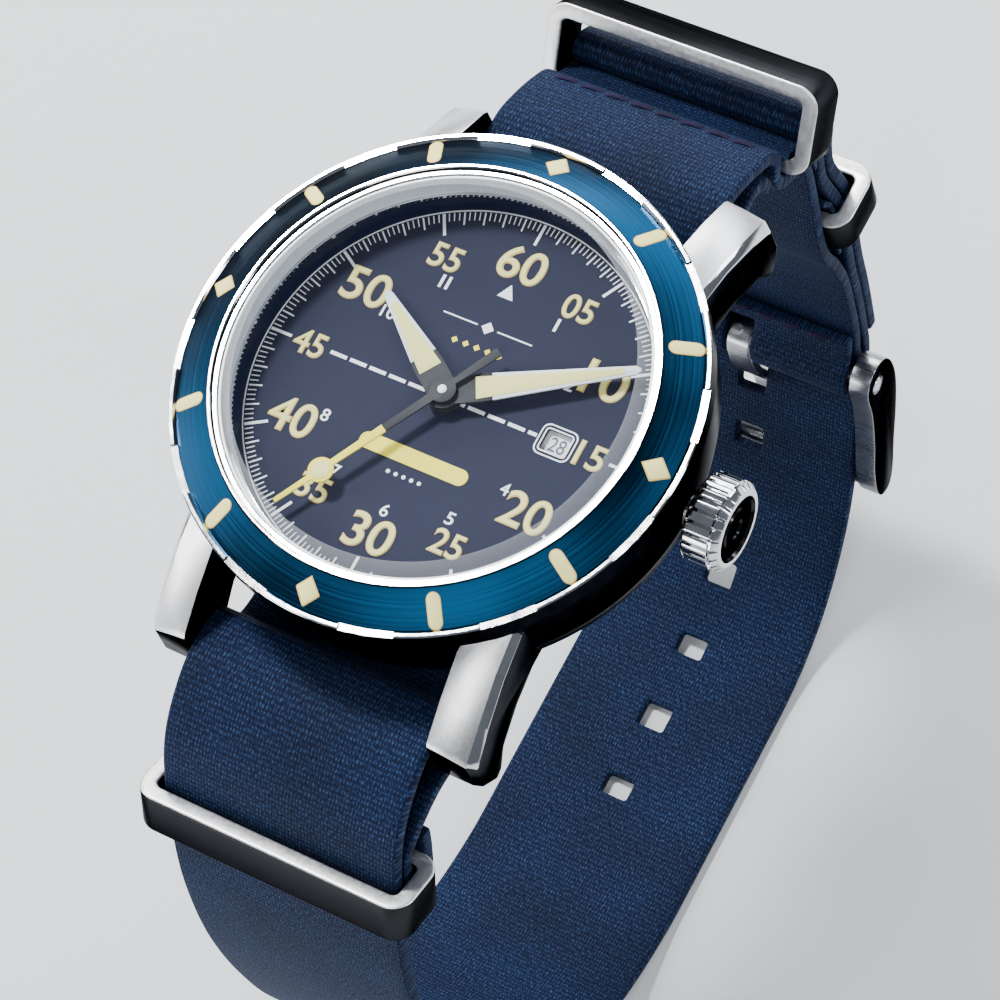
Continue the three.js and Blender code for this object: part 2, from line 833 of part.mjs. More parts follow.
// The tail's holes, one pitch apart, counted back along the strap from the tongue's hole.
function tailHoles() {
  const fine = finePoints(STRAP_LINE);
  const [y, z] = TONGUE_HOLE;
  const distances = fine.map((point) => Math.hypot(point.y - y, point.z - z));
  const start = distances.indexOf(Math.min(...distances));
  return Array.from({ length: HOLE_COUNT }, (_, hole) => {
    const index = start - Math.round((hole * HOLE_PITCH) / FINE_STEP);
    const along = fine[index + 1].clone().sub(fine[index - 1]);
    const half = (hole === 0 ? TONGUE_HOLE_LENGTH : HOLE_LENGTH) / 2;
    return block([-HOLE_WIDTH / 2, -half, -0.9], [HOLE_WIDTH / 2, half, 0.9])
      .rotateX(Math.atan2(along.z, along.y))
      .translate(0, fine[index].y, fine[index].z);
  });
}

function strapMain() {
  const tongueSlot = block([-1.8, 29.5, -57], [1.8, 35.15, -52.2]);
  return cut(strip(STRAP_LINE, STRAP_THICK, STRAP_WIDTH), [...tailHoles(), tongueSlot]);
}

// The short second layer: crest, under the head and round the front keeper's lower bar.
const SHORT_LINE = [
  [30.35, -15.1],
  [30.0, -13.7],
  [28.6, -12.8],
  [26.5, -13.1],
  [24.3, -14.3],
  [21.8, -15.3],
  [18.5, -15.6],
  [0, -15.6],
  [-18.5, -15.6],
  [-22.5, -15.2],
  [-26.5, -14.6],
  spot(FRONT, -1.55, -1.2),
  spot(FRONT, -1.5, 1.0),
  spot(FRONT, -1.55, 4.3),
  spot(FRONT, -1.9, 5.5),
  spot(FRONT, -2.95, 6.1),
  spot(FRONT, -3.95, 5.5),
  spot(FRONT, -4.38, 4.3),
  spot(FRONT, -4.36, 0.5),
  spot(FRONT, -4.1, -1.6),
];

// Thin loops of webbing that hold the lower bars of the two keepers at the back.
const TOP_TAB = [
  spot(TOP, 1.7, -0.75),
  spot(TOP, 1.7, 0.4),
  spot(TOP, 1.7, 3.9),
  [37.25, -18.55],
  [36.75, -20.2],
  [36.42, -22.0],
];
const REAR_TAB = [
  [36.0, -27.6],
  spot(REAR, 1.6, -1.1),
  spot(REAR, 1.74, -0.1),
  spot(REAR, 1.72, 4.1),
  spot(REAR, 1.25, 5.1),
  [36.2, -36.6],
];

// ---------- Spring bars ----------

const PIN_START = 8.4;
const STEPS_PER_TURN = 6;

function barTube(side) {
  const wall = [[0.55, -10.4], [BAR_RADIUS, -10.4], [BAR_RADIUS, 10.4], [0.55, 10.4]];
  return turnedAlongX(wall, side * BAR_Y, BAR_Z);
}

function barPin(sideX, side) {
  const profile = [[0, PIN_START], [0.48, PIN_START], [0.48, 9.4], [0.38, 9.5], [0.38, 12.0], [0, 12.2]];
  return turnedAlongX(profile, 0, 0, 16, false)
    .rotateZ(sideX > 0 ? 0 : Math.PI)
    .translate(0, side * BAR_Y, BAR_Z);
}

function barSpring(side) {
  const turns = 6;
  const half = PIN_START - 0.1;
  const points = Array.from({ length: turns * STEPS_PER_TURN + 1 }, (_, step) => {
    const angle = (2 * Math.PI * step) / STEPS_PER_TURN;
    const x = -half + 0.1 + ((2 * half - 0.2) * step) / (turns * STEPS_PER_TURN);
    return new THREE.Vector3(x, side * BAR_Y + 0.38 * Math.cos(angle), BAR_Z + 0.38 * Math.sin(angle));
  });
  const wire = new THREE.Shape(circlePoints(0.08, 4).map(([x, y]) => new THREE.Vector2(x, y)));
  const extrudePath = new THREE.CatmullRomCurve3(points);
  const options = { steps: turns * STEPS_PER_TURN, bevelEnabled: false, extrudePath };
  return new THREE.ExtrudeGeometry(wire, options);
}

// ---------- The watch ----------

const HEAD_HEIGHT = 81.7 + STRAP_THICK / 2;
const watch = new THREE.Group();
const head = new THREE.Group();
head.position.z = HEAD_HEIGHT;
watch.add(head);

function add(name, geometry, material) {
  const mesh = new THREE.Mesh(geometry, material());
  mesh.name = name;
  head.add(mesh);
}

add("case_middle", caseMiddle(), looks.brushedSteel);
add("case_back", caseBack(), looks.brushedSteel);
add("case_back_gasket", ring(17.62, 18.18, -10.58, -10.23), looks.gasket);
add("bezel_ring", bezelRing(), looks.polishedSteel);
add("bezel_insert", bezelInsert(), looks.insertBlue);
add("bezel_click_spring", ring(18.6, 19.8, -3.05, -2.85), looks.nickel);
add("crystal", crystal(), looks.crystal);
add("crystal_gasket", ring(16.89, 17.12, -2.0, 0.35, 48), looks.gasket);
add("rehaut_ring", turned([[16.5, -4.15], [17.1, -4.15], [17.1, -2.4], [16.8, -2.4]], 48), looks.rehaut);
add("dial", dialPlate(), looks.dial);
add("date_ring", ring(8.0, 11.6, -5.1, -4.8), looks.whitePrint);

const hourHand = batonHand(10.7, 1.2, 3.0, 0.38, 1.5, 0.97, -3.55, -3.3);
const minuteHand = batonHand(15.5, 1.2, 3.0, 0.38, 1.4, 0.6, -3.05, -2.85);
add("hour_hand", atMinute(hourHand, HOUR_HAND_AT), looks.handGrey);
add("minute_hand", atMinute(minuteHand, MINUTE_HAND_AT), looks.handGrey);
add("seconds_hand", atMinute(secondsHand(-2.55, -2.4), SECONDS_HAND_AT), looks.handYellow);
add("hour_wheel", join([ring(0.64, 0.94, -5.3, -3.3, 20), ring(0.64, 2.6, -5.3, -5.1, 20)]), looks.brass);
add("cannon_pinion", ring(0.28, 0.57, -6.25, -2.85, 16), looks.nickel);

const stemTunnel = barAlongX(1.4, 12, 18, 0, CROWN_Z);
add("movement_holder", cut(ring(13.2, 16.6, -9.2, -4.75), [stemTunnel]), looks.holder);
add("main_plate", mainPlate(), looks.nickel);
const barrelDrum = wheel(5.6, 36, -9.5, -8.0);
const thirdDisk = wheel(2.7, 30, -10.15, -10.0);
const secondsDisk = wheel(2.9, 24, -9.85, -9.7);
const escapeDisk = wheel(2.1, 15, -9.25, -9.1);
const barrel = withArbor(BARREL, barrelDrum, 1.2, -9.9, -7.6, -10.2, ARBOR_HIGH);
const thirdWheel = withArbor(THIRD, thirdDisk, 0.6, -7.7, -7.1, ARBOR_LOW, ARBOR_HIGH);
const secondsArbor = join([secondsDisk, disc(0.5, -10.2, -9.9, 16), disc(0.2, ARBOR_LOW, -2.6, 12)]);
const escapeWheel = withArbor(ESCAPE, escapeDisk, 0.42, -9.9, -9.6, ARBOR_LOW, ARBOR_HIGH);
add("mainspring_barrel", barrel, looks.brass);
const centreDisk = wheel(2.55, 30, -7.5, -7.3);
const centreWheel = join([centreDisk, disc(0.85, -9.5, -8.0), disc(0.6, -9.5, -6.3)]);
add("centre_wheel", cut(centreWheel, [disc(0.28, -10, -6)]), looks.brass);
add("third_wheel", thirdWheel, looks.brass);
add("seconds_arbor", secondsArbor, looks.brass);
add("escape_wheel", escapeWheel, looks.brass);
add("pallet_fork", palletFork(), looks.nickel);
add("balance_wheel", balanceWheel(), looks.brass);
add("hairspring", hairspring(), looks.nickel);
add("train_bridge", trainBridge(), looks.nickel);
add("balance_cock", balanceCock(), looks.nickel);
add("rotor_bearing", join([disc(1.3, -12.0, -10.95), disc(2.0, -12.25, -11.85)]), looks.nickel);
add("rotor_weight", rotorWeight(), looks.nickel);

function sleeveOnStem(bore, outer, start, end) {
  return turnedAlongX([[bore, start], [outer, start], [outer, end], [bore, end]], 0, CROWN_Z);
}

add("crown_tube", sleeveOnStem(0.95, 1.3, 17.4, 23.4), looks.polishedSteel);
add("crown", crown(), looks.polishedSteel);
add("crown_gasket", sleeveOnStem(1.33, 1.47, 22.6, 23.1), looks.gasket);
add("winding_stem", barAlongX(0.5, 5.6, 23.95, 0, CROWN_Z), looks.nickel);
add("sliding_pinion", sleeveOnStem(0.56, 0.74, 7.0, 9.0), looks.nickel);

for (const [side, hour] of [[1, "12"], [-1, "6"]]) {
  add(`spring_bar_tube_${hour}`, barTube(side), looks.nickel);
  add(`spring_bar_pin_${hour}_right`, barPin(1, side), looks.nickel);
  add(`spring_bar_pin_${hour}_left`, barPin(-1, side), looks.nickel);
  add(`spring_bar_spring_${hour}`, barSpring(side), looks.nickel);
}

add("strap_long", strapMain(), looks.webbing);
add("strap_short", strip(SHORT_LINE, STRAP_THICK, STRAP_WIDTH), looks.webbing);
add("keeper_tab_top", strip(TOP_TAB, TAB_THICK, STRAP_WIDTH), looks.webbing);
add("keeper_tab_rear", strip(REAR_TAB, TAB_THICK, STRAP_WIDTH), looks.webbing);
add("keeper_front", keeper(FRONT, FRONT_RING), looks.brushedSteel);
add("keeper_top", keeper(TOP, TOP_RING), looks.brushedSteel);
add("keeper_rear", keeper(REAR, REAR_RING), looks.brushedSteel);
add("buckle_frame", buckleFrame(), looks.brushedSteel);
add("buckle_bar", barAlongX(BAR_RADIUS, -ARM_OUTER, ARM_OUTER, BUCKLE_Y, BUCKLE_Z), looks.brushedSteel);
add("buckle_tongue", strip(TONGUE, 1.0, 2.6), looks.brushedSteel);

// The origin is the middle of the bounding box's bottom.
const bounds = new THREE.Box3().setFromObject(watch);
watch.position.x = -(bounds.min.x + bounds.max.x) / 2;
watch.position.y = -(bounds.min.y + bounds.max.y) / 2;
watch.position.z = -bounds.min.z;
watch.updateMatrixWorld(true);

export default watch;
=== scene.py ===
"""Looks of a dive watch on a webbing strap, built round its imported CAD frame.

Lengths in the lists below are millimetres in the head's frame: z = 0 is the plane of the bezel's
markers, +Y is twelve o'clock and +X is the crown side. Blender's own numbers are metres.
"""

import math

import bpy
from mathutils import Matrix, Vector


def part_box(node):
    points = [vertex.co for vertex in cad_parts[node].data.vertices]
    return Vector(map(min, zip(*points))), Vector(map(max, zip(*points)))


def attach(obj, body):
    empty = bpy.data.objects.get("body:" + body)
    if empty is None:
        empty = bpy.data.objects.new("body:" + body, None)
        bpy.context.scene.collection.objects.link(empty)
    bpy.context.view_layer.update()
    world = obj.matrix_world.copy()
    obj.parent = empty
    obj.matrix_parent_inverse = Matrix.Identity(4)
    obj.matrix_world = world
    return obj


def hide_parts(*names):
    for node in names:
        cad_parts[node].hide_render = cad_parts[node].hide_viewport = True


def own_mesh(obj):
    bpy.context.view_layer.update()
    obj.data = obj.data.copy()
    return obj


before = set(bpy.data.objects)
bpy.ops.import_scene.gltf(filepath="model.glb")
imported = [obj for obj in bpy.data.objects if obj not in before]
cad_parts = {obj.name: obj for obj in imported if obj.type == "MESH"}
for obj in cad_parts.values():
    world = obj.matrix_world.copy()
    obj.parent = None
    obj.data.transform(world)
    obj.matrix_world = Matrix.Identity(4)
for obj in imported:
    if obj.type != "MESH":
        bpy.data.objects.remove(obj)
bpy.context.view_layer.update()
bpy.ops.object.select_all(action="DESELECT")

MM = 0.001
CRYSTAL_TOP = 1.25
crystal_low, crystal_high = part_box("crystal")
HEAD = Vector((
    (crystal_low.x + crystal_high.x) / 2,
    (crystal_low.y + crystal_high.y) / 2,
    crystal_high.z - CRYSTAL_TOP * MM,
))


def in_metres(point):
    """A point of the head's frame, in millimetres, as a point of the row's frame."""
    return HEAD + Vector(point) * MM


# ---------- Camera, floor and light ----------


def place_camera():
    camera = bpy.data.objects.new("camera", bpy.data.cameras.new("camera"))
    bpy.context.scene.collection.objects.link(camera)
    right = Vector((0.8554972, 0.468106, -0.2213627))
    up = Vector((-0.3549471, 0.8413976, 0.4075078))
    back = Vector((0.3770109, -0.2700498, 0.8859661))
    turn = Matrix((right, up, back)).transposed().to_4x4()
    camera.matrix_world = Matrix.Translation(in_metres((119.93, -86.11, 258.95))) @ turn
    camera.data.lens = 140.635
    camera.data.sensor_width = 36
    camera.data.clip_start = 0.01
    bpy.context.scene.camera = camera


def place_floor():
    bpy.ops.mesh.primitive_plane_add(size=6, location=(0, 0, -0.0002))
    floor = bpy.context.object
    floor.name = "floor"
    material = bpy.data.materials.new("pale floor")
    material.use_nodes = True
    shader = material.node_tree.nodes["Principled BSDF"]
    shader.inputs["Base Color"].default_value = (0.62, 0.64, 0.66, 1)
    shader.inputs["Roughness"].default_value = 0.85
    floor.data.materials.append(material)


def softbox(name, place, target, size, watts, tint=(1, 1, 1)):
    data = bpy.data.lights.new(name, "AREA")
    data.shape = "RECTANGLE"
    data.size, data.size_y = size
    data.energy = watts
    data.color = tint
    light = bpy.data.objects.new(name, data)
    bpy.context.scene.collection.objects.link(light)
    light.location = in_metres(place)
    facing = in_metres(target) - light.location
    light.rotation_euler = facing.to_track_quat("-Z", "Y").to_euler()


def place_lights():
    softbox("key", (-255, 190, 540), (0, 0, 0), (0.1, 0.1), 6.5)
    softbox("left_strip", (-420, -120, 200), (0, 0, -10), (0.1, 0.5), 2.2)
    softbox("right_strip", (420, 120, 120), (0, 0, -10), (0.07, 0.5), 1.5, (0.92, 0.96, 1))
    softbox("rim", (60, 430, 110), (0, 0, -20), (0.4, 0.1), 1.2, (0.95, 0.97, 1))
    softbox("front_high", (90, -300, 360), (0, -20, -10), (0.2, 0.2), 1.1)
    softbox("back_low", (-170, 370, 170), (0, -30, -20), (0.3, 0.16), 1.6)
    softbox("front_low", (-170, -400, 10), (0, 30, -20), (0.3, 0.16), 1.0)
    world = bpy.data.worlds.new("studio")
    bpy.context.scene.world = world
    world.use_nodes = True
    background = world.node_tree.nodes["Background"]
    background.inputs["Color"].default_value = (0.55, 0.6, 0.68, 1)
    background.inputs["Strength"].default_value = 0.3


# ---------- Materials ----------

NODE_STEP = 220  # room that a node takes in the editor
FINE_RELIEF = 0.00002  # height of brush lines and paint grain, in metres
WEAVE_RELIEF = 0.00012

def new_material(name):
    material = bpy.data.materials.new(name)
    material.use_nodes = True
    return material, material.node_tree.nodes, material.node_tree.links


def framed(nodes, title, members, left, top):
    """Groups the nodes of one effect in a frame, laid out in a row from its left end."""
    frame_node = nodes.new("NodeFrame")
    frame_node.label = title
    for column, member in enumerate(members):
        member.location = (left + NODE_STEP * column, top)
        member.parent = frame_node


def brushed_metal(name, colour, stretch, rough=(0.18, 0.34), depth=0.25, anisotropy=0.5, edge=1.0):
    """Steel, brass or nickel with fine straight brushing; stretch is lines per metre along each axis."""
    material, nodes, links = new_material(name)
    shader = nodes["Principled BSDF"]
    shader.location = (300, 0)
    shader.inputs["Metallic"].default_value = 1
    shader.inputs["Anisotropic"].default_value = anisotropy
    shader.inputs["Specular Tint"].default_value = (edge, edge, edge, 1)

    place = nodes.new("ShaderNodeTexCoord")
    place.label = "place on the piece"
    pull = nodes.new("ShaderNodeMapping")
    pull.label = "pull grain along the brushing"
    pull.inputs["Scale"].default_value = stretch
    lines = nodes.new("ShaderNodeTexNoise")
    lines.label = "brush lines"
    lines.inputs["Scale"].default_value = 1
    lines.inputs["Detail"].default_value = 5
    smudge = nodes.new("ShaderNodeTexNoise")
    smudge.label = "faint handling smudges"
    smudge.inputs["Scale"].default_value = 180
    smudge.inputs["Detail"].default_value = 3
    links.new(place.outputs["Object"], pull.inputs["Vector"])
    links.new(pull.outputs["Vector"], lines.inputs["Vector"])
    links.new(place.outputs["Object"], smudge.inputs["Vector"])
    framed(nodes, "grain", [place, pull, lines, smudge], -1300, 100)

    tone = nodes.new("ShaderNodeValToRGB")
    tone.label = "metal tone along the lines"
    tone.color_ramp.elements[0].position = 0.25
    tone.color_ramp.elements[0].color = (*[part * 0.8 for part in colour], 1)
    tone.color_ramp.elements[1].position = 0.75
    tone.color_ramp.elements[1].color = (*colour, 1)
    links.new(lines.outputs["Fac"], tone.inputs["Fac"])
    links.new(tone.outputs["Color"], shader.inputs["Base Color"])
    framed(nodes, "colour", [tone], -400, 300)

    both = nodes.new("ShaderNodeMath")
    both.label = "lines and smudges together"
    both.operation = "MULTIPLY"
    gloss = nodes.new("ShaderNodeMapRange")
    gloss.label = "roughness"
    gloss.inputs["From Min"].default_value = 0.1
    gloss.inputs["From Max"].default_value = 0.45
    gloss.inputs["To Min"].default_value = rough[0]
    gloss.inputs["To Max"].default_value = rough[1]
    links.new(lines.outputs["Fac"], both.inputs[0])
    links.new(smudge.outputs["Fac"], both.inputs[1])
    links.new(both.outputs["Value"], gloss.inputs["Value"])
    links.new(gloss.outputs["Result"], shader.inputs["Roughness"])
    framed(nodes, "gloss", [both, gloss], -400, -100)

    relief = nodes.new("ShaderNodeBump")
    relief.label = "brush line relief"
    relief.inputs["Strength"].default_value = depth
    relief.inputs["Distance"].default_value = FINE_RELIEF
    links.new(lines.outputs["Fac"], relief.inputs["Height"])
    links.new(relief.outputs["Normal"], shader.inputs["Normal"])
    framed(nodes, "relief", [relief], 0, -350)
    return material


def turned_metal(name, colour, centre, rough=(0.2, 0.42), pitch=5200, depth=0.3, coat=0.0, shade=0.55):
    """Metal brushed in circles round an axis along Z, as a lathe leaves it."""
    material, nodes, links = new_material(name)
    shader = nodes["Principled BSDF"]
    shader.location = (500, 0)
    shader.inputs["Metallic"].default_value = 1
    shader.inputs["Anisotropic"].default_value = 0.8
    shader.inputs["Coat Weight"].default_value = coat
    shader.inputs["Coat Roughness"].default_value = 0.15

    place = nodes.new("ShaderNodeTexCoord")
    place.label = "place on the piece"
    middle = nodes.new("ShaderNodeMapping")
    middle.label = "measure from the axis"
    middle.vector_type = "POINT"
    middle.inputs["Location"].default_value = (-centre.x, -centre.y, 0)
    middle.inputs["Scale"].default_value = (1, 1, 0)
    radius = nodes.new("ShaderNodeVectorMath")
    radius.label = "distance from the axis"
    radius.operation = "LENGTH"
    rings = nodes.new("ShaderNodeTexNoise")
    rings.label = "turning lines"
    rings.noise_dimensions = "1D"
    rings.inputs["Scale"].default_value = pitch
    rings.inputs["Detail"].default_value = 4
    sweep = nodes.new("ShaderNodeTexNoise")
    sweep.label = "arcs where the lines press harder"
    sweep.inputs["Scale"].default_value = 90
    sweep.inputs["Detail"].default_value = 2
    links.new(place.outputs["Object"], middle.inputs["Vector"])
    links.new(middle.outputs["Vector"], radius.inputs[0])
    links.new(radius.outputs["Value"], rings.inputs["W"])
    links.new(place.outputs["Object"], sweep.inputs["Vector"])
    framed(nodes, "turning", [place, middle, radius, rings, sweep], -1900, 100)

    mixed = nodes.new("ShaderNodeMath")
    mixed.label = "lines over arcs"
    mixed.operation = "MULTIPLY"
    tone = nodes.new("ShaderNodeValToRGB")
    tone.label = "tone of the turned lines"
    tone.color_ramp.elements[0].position = 0.12
    tone.color_ramp.elements[0].color = (*[part * shade for part in colour], 1)
    tone.color_ramp.elements[1].position = 0.42
    tone.color_ramp.elements[1].color = (*colour, 1)
    gloss = nodes.new("ShaderNodeMapRange")
    gloss.label = "roughness"
    gloss.inputs["From Min"].default_value = 0.1
    gloss.inputs["From Max"].default_value = 0.45
    gloss.inputs["To Min"].default_value = rough[0]
    gloss.inputs["To Max"].default_value = rough[1]
    links.new(rings.outputs["Fac"], mixed.inputs[0])
    links.new(sweep.outputs["Fac"], mixed.inputs[1])
    links.new(mixed.outputs["Value"], tone.inputs["Fac"])
    links.new(mixed.outputs["Value"], gloss.inputs["Value"])
    links.new(tone.outputs["Color"], shader.inputs["Base Color"])
    links.new(gloss.outputs["Result"], shader.inputs["Roughness"])
    framed(nodes, "tone and gloss", [mixed, tone, gloss], -700, 100)

    relief = nodes.new("ShaderNodeBump")
    relief.label = "turning line relief"
    relief.inputs["Strength"].default_value = depth
    relief.inputs["Distance"].default_value = FINE_RELIEF
    tangent = nodes.new("ShaderNodeTangent")
    tangent.label = "highlights spread round the axis"
    tangent.direction_type = "RADIAL"
    tangent.axis = "Z"
    links.new(rings.outputs["Fac"], relief.inputs["Height"])
    links.new(relief.outputs["Normal"], shader.inputs["Normal"])
    links.new(tangent.outputs["Tangent"], shader.inputs["Tangent"])
    framed(nodes, "surface", [relief, tangent], 0, -350)
    return material


def lacquer(name, colour, rough=0.5, grain=2500, depth=0.2, variation=0.12, specular=0.25, coat=0.0):
    """Paint, plastic, rubber or luminous filler: an even colour with a fine grain and soft clouds."""
    material, nodes, links = new_material(name)
    shader = nodes["Principled BSDF"]
    shader.location = (300, 0)
    shader.inputs["Specular IOR Level"].default_value = specular
    shader.inputs["Coat Weight"].default_value = coat
    shader.inputs["Coat Roughness"].default_value = 0.2

    place = nodes.new("ShaderNodeTexCoord")
    place.label = "place on the piece"
    grains = nodes.new("ShaderNodeTexNoise")
    grains.label = "fine grain"
    grains.inputs["Scale"].default_value = grain
    grains.inputs["Detail"].default_value = 3
    clouds = nodes.new("ShaderNodeTexNoise")
    clouds.label = "soft clouds"
    clouds.inputs["Scale"].default_value = 140
    links.new(place.outputs["Object"], grains.inputs["Vector"])
    links.new(place.outputs["Object"], clouds.inputs["Vector"])
    framed(nodes, "texture", [place, grains, clouds], -1300, 100)

    spread = nodes.new("ShaderNodeMix")
    spread.label = "grain over clouds"
    spread.inputs["Factor"].default_value = 0.4
    tone = nodes.new("ShaderNodeValToRGB")
    tone.label = "colour with slight unevenness"
    tone.color_ramp.elements[0].position = 0.3
    tone.color_ramp.elements[0].color = (*[part * (1 - variation) for part in colour], 1)
    tone.color_ramp.elements[1].position = 0.7
    tone.color_ramp.elements[1].color = (*[min(part * (1 + variation), 1) for part in colour], 1)
    gloss = nodes.new("ShaderNodeMapRange")
    gloss.label = "roughness"
    gloss.inputs["To Min"].default_value = rough - 0.08
    gloss.inputs["To Max"].default_value = rough + 0.08
    links.new(grains.outputs["Fac"], spread.inputs["A"])
    links.new(clouds.outputs["Fac"], spread.inputs["B"])
    links.new(spread.outputs["Result"], tone.inputs["Fac"])
    links.new(clouds.outputs["Fac"], gloss.inputs["Value"])
    links.new(tone.outputs["Color"], shader.inputs["Base Color"])
    links.new(gloss.outputs["Result"], shader.inputs["Roughness"])
    framed(nodes, "colour and gloss", [spread, tone, gloss], -500, 100)

    relief = nodes.new("ShaderNodeBump")
    relief.label = "grain relief"
    relief.inputs["Strength"].default_value = depth
    relief.inputs["Distance"].default_value = FINE_RELIEF
    links.new(grains.outputs["Fac"], relief.inputs["Height"])
    links.new(relief.outputs["Normal"], shader.inputs["Normal"])
    framed(nodes, "relief", [relief], 0, -350)
    return material


def crystal_glass(name, white, rough):
    """Clear crystal that shows what is behind it unbent, with reflections that grow at a slant."""
    material, nodes, links = new_material(name)
    nodes.remove(nodes["Principled BSDF"])
    output = nodes["Material Output"]
    output.location = (500, 0)
    clear = nodes.new("ShaderNodeBsdfTransparent")
    clear.label = "clear body"
    clear.inputs["Color"].default_value = (0.97, 0.985, 1, 1)
    milky = nodes.new("ShaderNodeBsdfDiffuse")
    milky.label = "ground edge scatter"
    milky.inputs["Color"].default_value = (0.85, 0.9, 0.95, 1)
    body = nodes.new("ShaderNodeMixShader")
    body.label = "body with its ground edge"
    body.inputs["Fac"].default_value = white
    framed(nodes, "body", [clear, milky, body], -900, 300)

    mirror = nodes.new("ShaderNodeBsdfGlossy")
    mirror.label = "polished surface"
    place = nodes.new("ShaderNodeTexCoord")
    place.label = "place on the crystal"
    wipe = nodes.new("ShaderNodeTexNoise")
    wipe.label = "faint wipe marks"
    wipe.inputs["Scale"].default_value = 300
    gloss = nodes.new("ShaderNodeMapRange")
    gloss.label = "roughness of the polish"
    gloss.inputs["To Min"].default_value = rough
    gloss.inputs["To Max"].default_value = rough + 0.03
    slant = nodes.new("ShaderNodeLayerWeight")
    slant.label = "slant of the view"
    slant.inputs["Blend"].default_value = 0.5
    coating = nodes.new("ShaderNodeMath")
    coating.label = "anti-glare coating: mirrors only at a steep slant"
    coating.operation = "POWER"
    coating.inputs[1].default_value = 6
    shown = nodes.new("ShaderNodeMixShader")
    shown.label = "reflection over body"
    links.new(place.outputs["Object"], wipe.inputs["Vector"])
    links.new(wipe.outputs["Fac"], gloss.inputs["Value"])
    links.new(gloss.outputs["Result"], mirror.inputs["Roughness"])
    links.new(clear.outputs["BSDF"], body.inputs[1])
    links.new(milky.outputs["BSDF"], body.inputs[2])
    links.new(slant.outputs["Facing"], coating.inputs[0])
    links.new(coating.outputs["Value"], shown.inputs["Fac"])
    links.new(body.outputs["Shader"], shown.inputs[1])
    links.new(mirror.outputs["BSDF"], shown.inputs[2])
    links.new(shown.outputs["Shader"], output.inputs["Surface"])
    framed(nodes, "polish", [place, wipe, gloss, mirror], -900, 0)
    framed(nodes, "reflection over the body", [slant, coating, shown], -200, 300)
    return material


